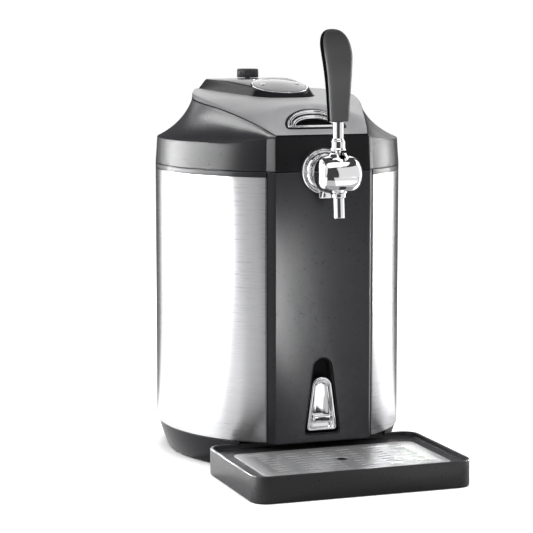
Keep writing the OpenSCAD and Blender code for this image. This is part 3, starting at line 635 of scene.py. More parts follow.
def base_section(rb):
    """Section of the skirt under a point of the body's outline at the radius rb."""
    top_z = BASE_H - 0.4
    low, high = rb - TAPER - 1.5, (rb - TAPER - 1.5) * 1.08
    inner = rb - TAPER - 1.5 - WALL - 2
    return fillet([(low, 2), (high, top_z), (inner, top_z), (inner, 2)], [1.6, 0.6, 0.6, 0.6], 4)


base = Shape().grid([around(a, base_section(rb)) for a, rb in PLAN if -(rb - TAPER) * cosd(a) > -ROOM])
piece("base_skirt", base, "black", "housing", "base_ring")


# Front panel: a shallow U with rounded corners and a tapered recess for the release lever
def taper(top_z, top_r, low_z, low_x, low_r, n=10):
    """Tapered outline, round on top, as points in x and z."""
    c0, c1 = Vector((0, top_z - top_r)), Vector((low_x - low_r, low_z + low_r))
    d = c1 - c0
    a_side = acos((top_r - low_r) / d.length) - atan2(-d.y, d.x)
    right = [(c0.x + top_r * cos(t), c0.y + top_r * sin(t))
             for t in [pi / 2 + (a_side - pi / 2) * k / (2 * n) for k in range(2 * n + 1)]]
    right += [(c1.x + low_r * cos(t), c1.y + low_r * sin(t))
              for t in [a_side + (-pi / 2 - a_side) * k / n for k in range(n + 1)]]
    return right + [(-x, z) for x, z in right[::-1][:-1]]


def cover_plan():
    side, y1 = CORNER_X - 0.8, CORNER_Y - 4.5
    pts = [(-side, -y1), (-side, -CORNER_Y + 0.4), (-FLAT_X, -FLAT_Y), (FLAT_X, -FLAT_Y),
           (side, -CORNER_Y + 0.4), (side, -y1), (side - WALL, -y1), (side - WALL, -CORNER_Y + 2),
           (FLAT_X - 2, -FLAT_Y + WALL), (-FLAT_X + 2, -FLAT_Y + WALL), (-side + WALL, -CORNER_Y + 2),
           (-side + WALL, -y1)]
    return fillet(pts, [0.4, 1.0, 1.8, 1.8, 1.0, 0.4, 0.4, 0.8, 0.8, 0.8, 0.8, 0.4], 5)


RECESS = (124.0, 11.5, 39.5, 20.5, 5.0)
panel = make_object("front_cover", Shape().prism(cover_plan(), BASE_H, SEAM_Z - 0.3, 0.7, 0.3))
cut(panel, Shape().prism(taper(*RECESS), -FLAT_Y - 3, -FLAT_Y + 10, 0, 0, UPRIGHT))
lip = taper(*RECESS)
rim = Shape().grid([[(x, -FLAT_Y + back, z) for x, z in inset(lip, d)] for d, back in (
    (-0.9, 0.3), (-0.6, -0.25), (0, -0.35), (0.1, -0.15), (0.35, 0.8))], caps=False)
dress(panel, "panel", "housing", "front_panel", 30)
piece("front_recess_lip", rim, "panel", "housing", "", 60)

# Recess pocket and the chrome release lever in it
outer, inner = taper(123.6, 11.1, 39.9, 20.1, 5), taper(122.4, 9.9, 40.9, 19.1, 4)
PY0, PY1 = -FLAT_Y + 0.6, -FLAT_Y + 17
pocket = Shape().grid([[(x, y, z) for x, z in plan] for plan, y in (
    (outer, PY1), (outer, PY0 + 0.5), (inset(outer, 0.5), PY0), (inner, PY0 + 0.3), (inner, PY1 - 3),
    (inset(inner, 1), PY1 - 2))])
piece("lever_recess", pocket, "inner", "housing", "lever_pocket", 45)

LY = -FLAT_Y + 0.9  # face of the lever


def face_rings(outline, steps):
    """Insets of an outline, each at a depth behind the lever's face."""
    return [[(x, LY + depth, z) for x, z in inset(outline, d)] for d, depth in steps]


shell = face_rings(taper(102.5, 11.8, 43.5, 17.4, 4, 14), (
    (1.2, 10), (0.4, 9.6), (0, 8.8), (0, 2.2), (0.25, 1.1), (0.9, 0.35), (1.8, 0.05), (2.6, 0.25),
    (3.1, 0.8)))
dish = face_rings(taper(98.5, 8.2, 46.5, 12.5, 3, 14), (
    (-0.4, 1.6), (0.2, 2.9), (1.0, 3.9), (2.4, 4.5), (4.5, 4.8)))
pad_plan = fillet([(-10.6, 51.5), (10.6, 51.5), (9.6, 61), (-9.6, 61)], [3, 3, 1.2, 1.2], 5)
pad = Shape().grid(face_rings(pad_plan, ((0, 5.2), (0, 1.6), (0.3, 0.9), (1.0, 0.5), (2.0, 0.45))))
mark = Shape()
mark.prism(fillet([(-4.2, 57.4), (4.2, 57.4), (4.2, 58.3), (-4.2, 58.3)], 0.3, 2), LY + 0.25, LY + 1,
           0, 0, UPRIGHT)
mark.prism([(-2.2, 56.2), (2.2, 56.2), (0, 54.4)], LY + 0.25, LY + 1, 0, 0, UPRIGHT)
piece("release_lever_shell", Shape().grid(shell + dish), "chrome", "lever", "release_lever", 50)
piece("lever_thumb_pad", pad, "chrome", "lever", "", 50)
piece("lever_mark", mark, "inner", "lever", "", 30)


# ---------------- drip tray
def rounded(w, y0, y1, r, n=10):
    pts = []
    for cx, cy, t0 in ((w / 2 - r, y1 - r, 0), (-w / 2 + r, y1 - r, 90), (-w / 2 + r, y0 + r, 180),
                       (w / 2 - r, y0 + r, 270)):
        pts += [(cx + r * cosd(t0 + 90 * k / n), cy + r * sind(t0 + 90 * k / n)) for k in range(n + 1)]
    return pts


TW, TY0, TY1, TH, LIP, LEDGE = 243.6, -275.0, -113.5, 29.0, 3.0, 23.4
tray = Shape()
outside = fillet([(14, 0), (0, 0), (0, TH), (LIP, TH), (LIP, LEDGE), (9, LEDGE)],
                 [0, 2.4, 1.3, 1.0, 1.2, 0], 5, closed=False)
rings = [[(x, y, z) for x, y in rounded(TW - 2 * d, TY0 + d, TY1 - d, max(18 - d, 3))] for d, z in outside]
wells = fillet([(0, LEDGE), (0, 3), (16, 3)], [1.0, 2.5, 0], 4, closed=False)
WX, WY0, WY1 = 100.0, -255.0, -152.3
well = [[(x, y, z) for x, y in rounded(2 * (WX - d), WY0 + d, WY1 - d, max(10 - d, 2))]
        for d, z in [(-1, LEDGE)] + wells[1:]]
tray.grid(rings[:1] + rings + well + well[-1:], caps=True)
piece("drip_tray_pan", tray, "tray", "tray", "drip_tray", 45)


def flat_plate(name, outlines, z0, z1, edge):
    """Plate with holes and finely rounded edges, made from closed plan outlines."""
    cu = bpy.data.curves.new(name, "CURVE")
    cu.dimensions, cu.fill_mode = "2D", "BOTH"
    cu.extrude, cu.bevel_depth, cu.bevel_resolution, cu.offset = ((z1 - z0) / 2 - edge), edge, 2, -edge
    for o in outlines:
        sp = cu.splines.new("POLY")
        sp.points.add(len(o) - 1)
        for pt, (x, y) in zip(sp.points, o):
            pt.co = (x, y, 0, 1)
        sp.use_cyclic_u = True
    tmp = bpy.data.objects.new(name + "_curve", cu)
    bpy.context.scene.collection.objects.link(tmp)
    dg = bpy.context.evaluated_depsgraph_get()
    me = bpy.data.meshes.new_from_object(tmp.evaluated_get(dg))
    bpy.data.objects.remove(tmp)
    me.transform(Matrix.Scale(0.001, 4) @ Matrix.Translation((0, AXIS_Y, (z0 + z1) / 2)))
    me.materials.clear()
    obj = bpy.data.objects.new(name, me)
    bpy.context.scene.collection.objects.link(obj)
    clean(obj)
    return obj


def slot_outline(x0, x1, y, w=2.7, n=6):
    r = w / 2
    right = [(x1 - r + r * sind(t), y - r * cosd(t)) for t in [180 * k / n for k in range(n + 1)]]
    left = [(x0 + r - r * sind(t), y + r * cosd(t)) for t in [180 * k / n for k in range(n + 1)]]
    return right + left


PX, PY = 104.0, (-259.0, -FLAT_Y - 1)
outlines = [rounded(2 * PX, PY[0], PY[1], 9, 12),
            [(6.8 * cosd(t), -205 + 6.8 * sind(t)) for t in range(0, 360, 6)]]
for i in range(6):
    for j in range(9):
        x, y = (i - 2.5) * 31, -167 - 10.5 * j
        near = 5 if abs(x) < 20 and abs(y + 205) < 12 else 0
        x0, x1 = (x - 7.5, x + 7.5 - near) if x < 0 else (x - 7.5 + near, x + 7.5)
        outlines.append(slot_outline(x0, x1, y))
grille = flat_plate("drip_grille_plate", outlines, LEDGE + 0.2, LEDGE + 1.7, 0.3)
dress(grille, "plate", "grille", "drip_grille", 50)

# ---------------- lid
EDGE_FROM, LID_GAP = 0.93, 0.9


def lid_pt(a, s, down=0.0):
    f0, e = pod_pt(a, 40, 17), Vector(polar(seam_r(a), a))
    p = f0 + s * (e - f0)
    low = seam_z(-seam_r(a) * cosd(a)) + LID_GAP
    fall = 1.0 if s < EDGE_FROM else sqrt(max(0.0, 1 - ((s - EDGE_FROM) / (1 - EDGE_FROM)) ** 2))
    z = low + (lid_z(p.x, p.y) - low) * fall
    return p.x, p.y, max(z - down, low)


over = [k / 14 * EDGE_FROM for k in range(15)]
over += [EDGE_FROM + (1 - EDGE_FROM) * sind(90 * k / 8) for k in range(1, 9)]
under = [0.97, 0.85, 0.7, 0.5, 0.25, 0.0]
lid = Shape().grid([[lid_pt(a, s) for s in over] + [lid_pt(a, s, WALL) for s in under]
                    for a, _ in PLAN], wrap_rings=True)
lid = make_object("lid_shell", lid)


ARCH_X, ARCH_Y = 34.5, 29.3


def arch(d, low, n=60):
    """Flat-bottomed arch with rounded lower corners, drawn d inside the opening's edge."""
    rx, c = ARCH_X - d, max(1.0, 4 - d)
    top = ARCH_Y - d - low - c
    pts = [(rx * cosd(t), low + c + top * sind(t)) for t in [180 * k / n for k in range(n + 1)]]
    pts += [(c - rx + c * cosd(t), low + c + c * sind(t)) for t in (198, 216, 234, 252, 270)]
    return pts + [(rx - c + c * cosd(t), low + c + c * sind(t)) for t in (270, 288, 306, 324, 342)]


cut(lid, Shape().prism(arch(-0.3, -1.8), -12, 12, 0, 0, SLOPE))
dress(lid, "lid", "lid", "lid_cover", 35)


def pod_ring(a):
    def side(s, lift=0.0):
        f0, t = pod_pt(a, 39.6, 16.6), pod_pt(a, 34.2, 8)
        p, z0, z1 = f0 + s * (t - f0), lid_z(f0.x, f0.y), pod_z(t.y)
        return Vector((p.x, p.y, z0 + s * (z1 - z0) + lift))

    def crown(s, lift=0.0):
        t = pod_pt(a, 34.2, 8)
        b = Vector((0, DISC_Y)) + (GLASS_R + 2.6) * Vector((sind(a), -cosd(a)))
        p, z0, z1 = t + s * (b - t), pod_z(t.y), disc_plane(b.y) - 1
        return Vector((p.x, p.y, z0 + (z1 - z0) * s + 1.2 * sind(180 * s) + lift))

    wall = (side(1) - side(0)).length
    span = max((crown(1) - crown(0)).length, 0.5)
    s0, s1 = 1 - min(0.4, 1.6 / wall), min(0.4, 1.6 / span)
    pts = [side(0, -WALL), side(0)] + [side(s0 * k / 4) for k in range(1, 4)]
    p, q, r = side(s0), side(1), crown(s1)
    pts += [quad(p, q, r, k / 6) for k in range(7)]
    pts += [crown(s1 + (1 - s1) * k / 8) for k in range(1, 9)]
    pts += [crown(1, -2.4), crown(0.5, -2.4), side(0.8, -2.4)]
    return [tuple(v) for v in pts]


KNOB_Y = 99.0
pod = make_object("display_pod_shell", Shape().grid([pod_ring(a) for a, _ in PLAN], wrap_rings=True))
cut(pod, Shape().turn([(0, 395), (4, 395), (4, 435), (0, 435)], place_at(0, KNOB_Y, 0), 48))
dress(pod, "pod", "lid", "display_pod", 32)

ring = fillet([(30.2, -2.6), (32, -2.6), (32.2, 0.3), (31.2, 1.0), (30.2, 0.6)], [0, 0, 0.8, 0.6, 0.3], 4)
piece("display_ring", Shape().turn(ring + ring[:1], DISC, 160), "chrome", "lid",
      "display_bezel", 50)

DOME = 150.0
DROP = DOME - sqrt(DOME**2 - GLASS_R**2)


def dome_z(r):
    return 0.6 + DROP - DOME + sqrt(DOME**2 - r * r)


profile = [(r, dome_z(r)) for r in [GLASS_R * k / 24 for k in range(24)]] + [(29.5, dome_z(29.5))]
profile += [(29.85, dome_z(29.85) - 0.15), (GLASS_R, 0.1), (GLASS_R, -2), (0, -2)]
glass = make_object("display_cover", Shape().turn(profile, DISC, 160))
BUTTONS = {"left": DISC @ Matrix.Translation((-20, 0, 0)), "right": DISC @ Matrix.Translation((20, 0, 0))}
cut(glass, *[Shape().turn([(0, -4), (3.4, -4), (3.4, 6), (0, 6)], place, 48) for place in BUTTONS.values()])
dress(glass, "glass", "lid", "display_glass", 25)
push = fillet([(0, -2.6), (3.2, -2.6), (3.2, 3.0), (2.2, 3.0), (0, 2.7)], [0, 0.3, 0.45, 0.5, 0], 4, False)
for name, place in BUTTONS.items():
    piece("push_" + name, Shape().turn(push, place, 64), "stainless", "button_" + name, "button_" + name, 50)

# Ribbed knob
RIBS, N = 36, 432


def rib_ring(r, depth, z):
    def at(k):
        return r - depth * (0.5 + 0.5 * cos(RIBS * 2 * pi * k / N)) ** 2
    return [(at(k) * cos(2 * pi * k / N), KNOB_Y + at(k) * sin(2 * pi * k / N), z) for k in range(N)]


knob = Shape().grid([rib_ring(*row) for row in (
    (3, 0, 404.3), (3, 0, 417.4), (12.0, 0.4, 417.4),
    (12.6, 0.8, 418.1), (12.6, 0.8, 425.8), (12.35, 0.5, 426.7),
    (11.9, 0.25, 427.3), (10.9, 0, 427.6), (9.8, 0, 427.4), (9.2, 0, 427.0), (4, 0, 426.9), (0.2, 0, 426.9))])
piece("knob_body", knob, "knob", "knob", "top_knob", 45)
pointer = fillet([(-0.6, KNOB_Y - 8), (0.6, KNOB_Y - 8), (0.6, KNOB_Y - 2), (-0.6, KNOB_Y - 2)], 0.4, 3)
pointer = Shape().prism(pointer, 426.8, 427.2, 0, 0.15)
piece("knob_pointer", pointer, "white", "knob", "", 40)

# Lid latch in the front slope: dark cup, beaded chrome rim and a chrome arch that tips inwards
cup = Shape().grid([[(x, y, z) for x, y in arch(d, low)] for d, low, z in (
    (0, -1.5, -11), (0, -1.5, -1.4), (0.4, -1.1, -1.1), (1.1, -0.4, -1.1), (1.5, 0, -1.5), (1.5, 0, -8.5),
    (2.5, 1, -9.5))], place=SLOPE)
piece("latch_well", cup, "inner", "lid", "latch_cup", 35)

BEADS = [(0, -1.3), (0, 0.3), (0.04, 0.8), (0.12, 1.25), (0.24, 1.5), (0.36, 1.35), (0.44, 0.9), (0.5, 0.45),
         (0.56, 0.3), (0.62, 0.4), (0.7, 0.75), (0.8, 0.95), (0.9, 0.8), (0.97, 0.35), (1, -0.2), (1, -1.3)]
trim = Shape().grid([[(x, y, z) for x, y in arch(2.5 + 4.8 * t, 1.1 + 3.3 * t)] for t, z in BEADS],
                    wrap_rings=True, place=SLOPE)
piece("latch_trim", trim, "chrome", "lid", "latch_frame", 60)

PULL = [(8.5, -3.5), (8.5, -1.3), (8.8, -0.7), (9.3, -0.5), (9.8, -0.6), (10.1, -1.1), (10.4, -1.5),
        (10.9, -1.4), (11.5, -1.2), (12.1, -1.5), (12.6, -2.4), (12.8, -3.5)]
pull = Shape().grid([[((ARCH_X - d) * cosd(t), 5 + (ARCH_Y - 5 - d) * sind(t), z) for d, z in PULL]
                     for t in [180 * k / 90 for k in range(91)]], place=SLOPE)
piece("latch_pull", pull, "chrome", "latch", "latch_paddle", 60)

# ---------------- tap
flange = [(0, 0), (24.6, 0), (24.6, 1.8), (23.6, 3.1), (22.3, 2.7), (21.2, 1.8), (20.3, 3.7), (18.9, 5.6),
          (17.4, 5.9), (16.7, 4.2), (14.9, 4.2), (14.4, 9.2), (12.9, 10.4), (0, 10.4)]
tap = Shape().turn([(r, z - FLANGE_Y) for r, z in fillet(
    flange, [0, 0.3, 0.7, 0.9, 0.5, 0.6, 0.8, 0.9, 0.5, 0.3, 0.3, 0.9, 0.8, 0], 4, False)], FORWARD)
tap.turn([(9, 124), (9, -FLANGE_Y)], FORWARD, 64)
lug = fillet([(-7.5, 294.6), (7.5, 294.6), (7.5, 303.2), (-7.5, 303.2)], [2, 2, 1, 1], 5)
lug = [(x, z + 2) for x, z in lug]
tap.prism(lug, FLANGE_Y - 8, FLANGE_Y, 0.8, 0.1, UPRIGHT)
piece("tap_rose", tap, "chrome", "housing", "tap_flange", 50)

# A matte black strip filling the seam between lid and housing: painted shade of the gap.
GAP_SHADE_SECTION = [(-3, 0.05), (0.15, 0.05), (0.35, 0.2), (0.35, 1.0), (0.15, 1.2), (-0.6, 1.2), (-3, 0.9)]
gap_shade_rings = [around(a, [(seam_r(a) + d, seam_z(-seam_r(a) * cosd(a)) + h) for d, h in GAP_SHADE_SECTION]) for a, _ in PLAN]
piece("lid_gap_shade_line", Shape().grid(gap_shade_rings, wrap_rings=True), "flank", "housing", "", 50, "rubber")
# A dark ring just proud of the rose's rim: painted shade standing for the dark outline round the flange on
# the panel.
flange_shade_ring = [(20, -0.3), (25.5, -0.3), (25.7, 0.3), (25.3, 0.9), (24.7, 1.0), (20, 1.0)]
piece("tap_flange_shade_ring", Shape().turn([(r, z - FLANGE_Y) for r, z in flange_shade_ring], FORWARD), "rubber",
      "housing", "", 40)


def crown_r(x):
    """Radius of the barrel and its caps, which together make one softly swelling form."""
    return 20 * max(0.0, 1 - (abs(x) / 23.9) ** 3.4) ** (1 / 3.4)


rim = crown_r(19.35)
barrel = [(0, -19.6), (rim - 0.5, -19.6), (rim, -19.4)]
barrel += [(crown_r(x), x) for x in [-19.1 + 38.2 * k / 60 for k in range(61)]]
barrel += [(rim, 19.4), (rim - 0.5, 19.6), (0, 19.6)]
barrel = make_object("tap_barrel", Shape().turn(barrel, ALONG_X, 160))


SWING, SLOT_R = 30, 3.4


def stem_slot(rho, n=10):
    """Stadium round the swing of the stem, at a distance from the barrel's axis."""
    end = degrees(SLOT_R / rho)
    ring = [(SLOT_R * cosd(t), SWING + end * sind(t)) for t in [180 * k / n for k in range(n + 1)]]
    ring += [(-SLOT_R * cosd(t), -end * sind(t)) for t in [180 * k / n for k in range(n + 1)]]
    return [(x, TAP_Y - rho * sind(a), TAP_Z + rho * cosd(a)) for x, a in ring]


slot = Shape().grid([stem_slot(rho) for rho in (9.5, 12, 15, 19, 27)])
cut(barrel, slot)
boss = fillet([(0, 14), (14.5, 14), (12.6, 17.6), (10.4, 20.2), (9.4, 21.4), (9.0, 22.5), (0, 22.5)],
              [0, 0, 3, 2, 1, 0.4, 0], 5, False)
boss = make_object("tap_boss", Shape().turn(boss, place_at(0, TAP_Y, TAP_Z), 96))
cut(boss, slot)
neck = Shape().turn(fillet([(0, -FLANGE_Y + 10.5), (11.6, -FLANGE_Y + 10.5), (11.6, -FLANGE_Y + 12.4),
                            (9, -FLANGE_Y + 14.5), (9, -TAP_Y - 8), (0, -TAP_Y - 8)],
                           [0, 0.5, 0.8, 1.5, 0, 0], 4, False), FORWARD)
TILTED = place_at(0, TAP_Y, TAP_Z, -5)
collar = fillet([(0, -12), (12, -15), (9.4, -19.4), (7.75, -21.2), (7.75, -24.2), (7.2, -25), (0, -25)],
                [0, 0, 2, 0.6, 0.8, 0.4, 0], 4, False)
neck.turn(collar, TILTED, 96)
dress(barrel, "chrome", "housing", "tap_body", 45)
dress(boss, "chrome", "housing", "", 45)
piece("tap_neck", neck, "chrome", "housing", "", 45)

caps = Shape()
for s in (-1, 1):
    cap = [(0, 0), (rim - 0.8, 0), (rim - 0.4, 0.15)]
    cap += [(crown_r(19.7 + z), z) for z in (0.4, 0.8, 1.4, 2, 2.6, 3.1, 3.5, 3.8, 4.0)]
    cap += [(4, 4.12), (0.01, 4.2)]
    caps.turn(cap, place_at(s * 19.7, TAP_Y, TAP_Z, 0, s * 90), 128)
piece("tap_end_caps", caps, "chrome", "housing", "tap_caps", 50)

tube = fillet([(4.2, -46.2), (5.9, -46.2), (6.0, -25.2), (4.2, -25.2)], [0.5, 0.6, 0.3, 0.3], 4)
piece("tap_nozzle", Shape().turn(tube + tube[:1], TILTED, 96), "chrome", "housing",
      "tap_spout", 50)

stem = fillet([(0, 334.9), (3, 334.9), (3, 350), (8.6, 350), (8.6, 350.9), (7.6, 352.6), (7.6, 359.4),
               (6.7, 360.4), (6.7, 361.2), (6.2, 361.8), (5.75, 362.4), (5.75, 379.4), (5.2, 380), (3, 380),
               (3, 394), (0, 394)],
              [0, 0, 0, 0.3, 0.4, 0.8, 0.8, 0.2, 0.3, 0.2, 0.2, 0.3, 0.2, 0, 0, 0], 4, False)
piece("tap_lever_stem", Shape().turn(stem, place_at(0, TAP_Y, 0), 96), "chrome", "handle",
      "tap_stem", 50)

# Paddle handle, leaning back towards its rounded top
TIP_Z, TIP_H = 452.0, 23.7  # the rounded top starts here, and is this high
# height, half width, half depth, lean
ROWS = [(380, 10.6, 6.8, 0), (400, 11.7, 7.2, 0), (420, 13, 7.6, 0.6), (438, 14.6, 8.2, 2.4),
        (TIP_Z, 15.6, 8.6, 6)]


def grip_row(z):
    """Half width, half depth and lean of the handle at a height."""
    d = z - TIP_Z
    if d >= 0:
        k = max(1 - clamp01(d / TIP_H) ** 2.5, 0.0) ** (1 / 2.5)
        return 15.5 * k, 8.6 * k, 6 + 0.4545 * d + 0.0031 * d * d
    i = max(k for k in range(4) if ROWS[k][0] <= z)
    h = ROWS[i + 1][0] - ROWS[i][0]
    t = (z - ROWS[i][0]) / h
    out = []
    for c in (1, 2, 3):
        near = [(ROWS[max(j - 1, 0)], ROWS[min(j + 1, 4)]) for j in range(4)]
        m = [(q[c] - p[c]) / (q[0] - p[0]) for p, q in near] + [0.4545 if c == 3 else 0.02]
        out.append((2 * t**3 - 3 * t * t + 1) * ROWS[i][c] + (t**3 - 2 * t * t + t) * h * m[i]
                   + (3 * t * t - 2 * t**3) * ROWS[i + 1][c] + (t**3 - t * t) * h * m[i + 1])
    return tuple(out)


def grip_ring(z, shrink=0.0, n=96, power=5.0):
    w, d, lean = grip_row(z)
    ring = []
    for k in range(n):
        c, s = cos(2 * pi * k / n), sin(2 * pi * k / n)
        q = (abs(c) ** power + abs(s) ** power) ** (-1 / power)
        ring.append(((w - shrink) * q * c, TAP_Y + lean + max(d - shrink, 0.01) * q * s, z))
    return ring


levels = [(380 + 1.3 * (1 - cosd(t)), 1.3 * (1 - sind(t))) for t in (0, 30, 60, 90)]
levels += [(382 + 70 * k / 28, 0) for k in range(29)]
levels += [(TIP_Z + TIP_H * (1 - (1 - k / 18) ** 2.2), 0) for k in range(1, 18)] + [(475.69, 0)]
whole = [grip_ring(z, e) for z, e in levels]
# The middle shell is painted shade: a matte black band round the sides standing for the shaded gap between
# the front and rear shells.
# name, foremost and rearmost share of the half depth, finish, node that it stands for
SHELLS = [("handle_paddle", -9, -0.62, "grip", "handle_grip"), ("handle_side_band", -0.62, 0.45, "flank", ""),
          ("handle_back", 0.45, 9, "grip", "")]
for name, front, back, finish, node in SHELLS:
    rings = []
    for (z, _), ring in zip(levels, whole):
        w, d, lean = grip_row(z)
        y0, y1 = (TAP_Y + lean + d * t for t in (front, back))
        rings.append([(x, min(max(y, y0), y1), h) for x, y, h in ring])
    piece(name, Shape().grid(rings), finish, "handle", node, 60)
core = [grip_ring(max(z, 381), e + 0.8 * min(1, (475.7 - z) / 8)) for z, e in levels[:-3]]
piece("handle_core", Shape().grid(core), "inner", "handle", "", 60, "soft_grip")

# ---------------- pieces that keep the frame's shape
KEPT = {
    "rear_cover": ("black", 0.5), "base_plate": ("inner", 0.4), "rubber_feet": ("rubber", 0.8),
    "chamber_neck": ("white", 0.5), "lid_gasket": ("rubber", 0.6), "keg_shell": ("tinplate", 0.4),
    "keg_bung": ("inner", 0.5), "tapping_head": ("inner", 0.8), "co2_cartridge": ("stainless", 0.5),
    "co2_regulator": ("brass", 0.8), "power_inlet": ("inner", 0.4), "power_switch": ("inner", 0.5),
    "hinge_bracket": ("stainless", 0.5), "lid_hinge_arm": ("stainless", 0.5), "lid_liner": ("white", 0.5),
    "rotary_control": ("inner", 0.4), "fan_frame": ("inner", 0.2), "fan_rotor": ("inner", 0.3),
    "tap_nut": ("stainless", 0.6), "heatsink": ("aluminium", 0.2), "cold_block": ("aluminium", 0.5),
}
for node, (finish, width) in KEPT.items():
    refine(node, finish, width)

PLAIN = {
    "lever_pin": "stainless", "lever_spring": "stainless", "insulation_foam": "foam",
    "cooling_liner": "aluminium", "spear_tube": "stainless", "beer_hose": "hose", "co2_hose": "rubber",
    "peltier_module": "ceramic", "control_board": "circuit", "display_board": "circuit",
    "hinge_pin": "stainless", "valve_spindle": "stainless",
}
for name, obj in nodes.items():
    if not obj.hide_render:
        obj.data.materials.clear()
        obj.data.materials.append(M[PLAIN[name]])


# ---------------- floor, lights and camera
def emitter(name, strength):
    m = bpy.data.materials.new(name)
    m.use_nodes = True
    t = m.node_tree
    t.nodes.clear()
    e, out = t.nodes.new("ShaderNodeEmission"), t.nodes.new("ShaderNodeOutputMaterial")
    e.inputs["Color"].default_value, e.inputs["Strength"].default_value = (1, 1, 1, 1), strength
    t.links.new(e.outputs[0], out.inputs[0])
    return m


def stage_mesh(name, verts, faces, mat):
    me = bpy.data.meshes.new(name)
    me.from_pydata(verts, [], faces)
    me.materials.append(mat)
    o = bpy.data.objects.new(name, me)
    bpy.context.scene.collection.objects.link(o)
    o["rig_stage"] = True
    return o


def glossy_only(o):
    """Leaves an emitter to the reflections alone."""
    o.visible_camera = o.visible_diffuse = o.visible_shadow = False
    o.visible_transmission = o.visible_volume_scatter = False


# A light reaches one piece, one material, or all but some materials
BARE = ("brushed_steel", "stainless", "chrome", "aluminium", "brass", "satin_plate", "soft_grip",
        "painted_gap_shade", "smoked_glass")
ALL_BUT = {"moulded": BARE, "not_front": BARE + ("panel_black", "pod_black", "lid_grey")}


def group(key):
    """Collection of the pieces that a light reaches."""
    found = bpy.data.collections.get("lit_" + key)
    if not found:
        found = bpy.data.collections.new("lit_" + key)
        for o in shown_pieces():
            mats = [m.name for m in o.data.materials if m]
            if key in mats + [o.name] or key in ALL_BUT and any(m not in ALL_BUT[key] for m in mats):
                found.objects.link(o)
    return found


def strip(name, a0, a1, edges, strength, n):
    """Emissive strip from the azimuth a0 to a1 between two edges, each a radius and a height."""
    verts = [(*polar(r, a0 + (a1 - a0) * k / n), z) for k in range(n + 1) for r, z in edges]
    faces = [(2 * k, 2 * k + 1, 2 * k + 3, 2 * k + 2) for k in range(n)]
    glossy_only(stage_mesh(name, verts, faces, emitter(name, strength)))


# Upright cards: name, azimuths from the front (positive to the right), radius, highest edge, strength
for name, a0, a1, radius, high, strength in (
        ("card_left", -161, -84, 1.3, 1.5, 2.1), ("card_right", 74, 122, 1.3, 1.5, 1.7),
        ("card_back_low", 122, 199, 0.95, 0.46, 0.04)):
    strip(name, a0, a1, ((radius, -0.3), (radius, high)), strength, 24)
# The floor as the reflections see it: azimuths, inner and outer radius, strength
FLOORS = [
    (-180, 180, 0, 0.12, 0.35), (-170, -62, 0.12, 0.24, 1.1), (-62, 190, 0.12, 0.24, 0.35),
    (-161, -62, 0.24, 1.35, 1.9), (-62, -40, 0.24, 1.35, 1.1), (-40, 74, 0.24, 0.62, 0.6),
    (-40, 74, 0.62, 1.35, 0.06), (74, 122, 0.24, 1.35, 1.7), (122, 199, 0.24, 1.0, 0.06),
    (122, 199, 1.0, 1.6, 0.5),
]
for i, (a0, a1, r0, r1, strength) in enumerate(FLOORS):
    strip("card_floor_%d" % i, a0, a1, ((r0, -0.0005), (r1, -0.0005)), strength, 32)
above = [(-0.7, -1.3, 1.5), (0.6, -1.3, 1.5), (0.6, -0.35, 1.5), (-0.7, -0.35, 1.5)]
glossy_only(stage_mesh("card_top", above, [(0, 1, 2, 3)], emitter("card_top", 1.6)))

# Pale floor that glows, with painted shade: its glow is dimmer close to the pieces standing on it, and
# ambient occlusion paints a contact shadow under them
fm = Finish("floor_pale", (0.9, 0.9, 0.9), 0.6)
fm.tint(fm.between(fm.noise(2, 2), 0, 1), 0.985, 1.0)
fm.shader.inputs["Emission Color"].default_value = (1, 1, 1, 1)
reach = fm.node("ShaderNodeVectorMath", operation="LENGTH")
fm.link(fm.where, reach.inputs[0])
glow_with_painted_shade = fm.between(reach.outputs["Value"], 0.55, 1.0, 0.45, 1.3)
# Painted contact shadow: ambient occlusion dims the glow where the pieces stand close
near = fm.node("ShaderNodeAmbientOcclusion", Distance=0.16)
painted_floor_shadow = fm.node("ShaderNodeMath", operation="MULTIPLY")
fm.link(glow_with_painted_shade, painted_floor_shadow.inputs[0])
fm.link(fm.between(near.outputs["AO"], 0.0, 1.0, 0.18, 0.80), painted_floor_shadow.inputs[1])
fm.link(painted_floor_shadow.outputs[0], fm.shader.inputs["Emission Strength"])
floor = stage_mesh("floor", [(-9, -9, 0), (9, -9, 0), (9, 9, 0), (-9, 9, 0)], [(0, 1, 2, 3)], fm.mat)
floor.visible_diffuse = floor.visible_glossy = False

# White surroundings that only the camera sees, so that they don't wash out the dark plastic
rings = [[(10 * cos(e) * cos(t), 10 * cos(e) * sin(t), 10 * sin(e))
          for t in [2 * pi * k / 32 for k in range(32)]] for e in [pi * (i - 8) / 16 for i in range(17)]]
backdrop = Shape().grid(rings, caps=False)
backdrop = stage_mesh("backdrop", backdrop.verts, backdrop.faces, emitter("backdrop", 1.0))
backdrop.visible_diffuse = backdrop.visible_glossy = backdrop.visible_shadow = False
backdrop.visible_transmission = backdrop.visible_volume_scatter = False

world = bpy.data.worlds.new("studio")
bpy.context.scene.world = world
world.use_nodes = True
sky = world.node_tree.nodes["Background"].inputs
sky["Color"].default_value, sky["Strength"].default_value = (1, 1, 1, 1), 0.06


def area_light(name, loc, aim, size, power):
    li = bpy.data.lights.new(name, "AREA")
    li.shape, li.size, li.size_y, li.energy = "RECTANGLE", size[0], size[1], power
    o = bpy.data.objects.new(name, li)
    o.location = loc
    o.rotation_euler = (Vector(aim) - Vector(loc)).to_track_quat("-Z", "Y").to_euler()
    o.visible_glossy = False
    bpy.context.scene.collection.objects.link(o)
    return o


area_light("key", (-1.3, -1.0, 1.3), (0, 0, 0.25), (1.2, 1.2), 26)
area_light("top", (0.2, 0.1, 2.4), (0, 0, 0.3), (2.4, 2.4), 55)
area_light("fill", (1.4, -0.6, 1.2), (0, 0, 0.25), (1.0, 1.4), 8)

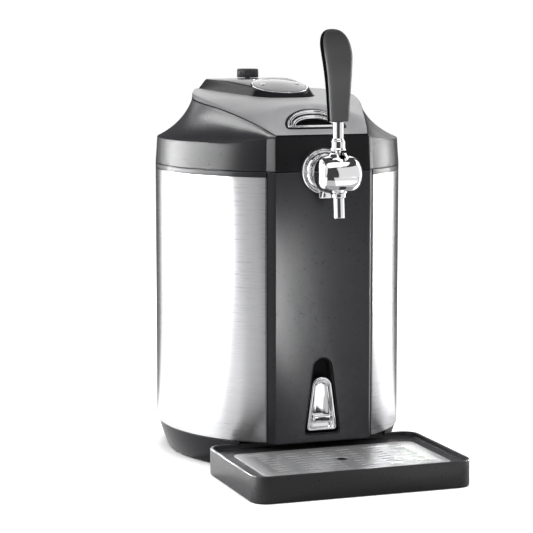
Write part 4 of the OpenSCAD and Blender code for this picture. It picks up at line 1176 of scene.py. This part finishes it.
# Softboxes for the sheen of some pieces: name, azimuth, distance, height, size, radiance, group, aim
SOFTBOXES = [
    ("soft_left", -112, 1.25, 0.32, (1.7, 0.85), 18, "not_front", (0, 0, 0.25)),
    ("soft_right", 96, 1.25, 0.35, (0.6, 0.9), 13, "moulded", (0, 0, 0.25)),
    ("soft_panel", 3.0, 0.40, 0.16, (0.05, 0.20), 88, "panel_black", (-0.055, -0.084, 0.20)),
    ("soft_shoulder", -121, 1.20, 1.36, (0.9, 0.45), 24, "top_housing_shell", (0, 0, 0.37)),
    ("soft_ceiling", 60, 0.25, 1.60, (0.6, 0.6), 3.0, "lid_shell", (0, -0.05, 0.38)),
    ("soft_back", 156, 1.40, 1.15, (0.9, 1.5), 1.3, "smoked_glass", (0, 0.04, 0.41)),
    ("soft_pod", 165, 1.40, 0.60, (0.5, 0.25), 2.5, "pod_black", (0, 0.04, 0.41)),
    ("soft_tray", -150, 0.90, 0.20, (0.6, 0.35), 20, "tray_black", (-0.12, -0.13, 0.02)),
    ("soft_plate", 158, 1.60, 0.55, (0.45, 0.25), 6.0, "satin_plate", (0.05, -0.15, 0.02)),
    ("soft_steel", -62, 1.20, 0.60, (0.9, 1.8), 0.9, "brushed_steel", (0, 0, 0.20)),
    ("soft_chrome", 43, 1.15, 0.64, (1.25, 1.25), 0.8, "chrome", (0, -0.1, 0.64)),
    ("soft_mirror", 24, 0.85, 0.004, (1.0, 1.1), 0.8, "chrome", (0.33, -0.776, 1.0)),
]
for name, azimuth, distance, height, size, radiance, who, aim in SOFTBOXES:
    box = area_light(name, (*polar(distance, azimuth), height), aim, size, radiance * pi * size[0] * size[1])
    box.visible_glossy = True
    # Light linking holds for sampled light only, so the lights of dull pieces aren't hit by chance rays
    box.data.cycles.use_multiple_importance_sampling = who in ("brushed_steel", "chrome", "smoked_glass")
    box.light_linking.receiver_collection = group(who)

# Camera of the main view, from the front left and a little above
cam = bpy.data.cameras.new("camera")
cam.lens, cam.sensor_width, cam.clip_end = 135.08, 36, 50
camera = bpy.data.objects.new("camera", cam)
camera.location = (-0.7718, -2.0667, 0.4902)
camera.rotation_euler = (radians(82.83), 0, radians(-19.64))
bpy.context.scene.collection.objects.link(camera)
bpy.context.scene.camera = camera
bpy.context.scene.view_settings.view_transform = "Standard"
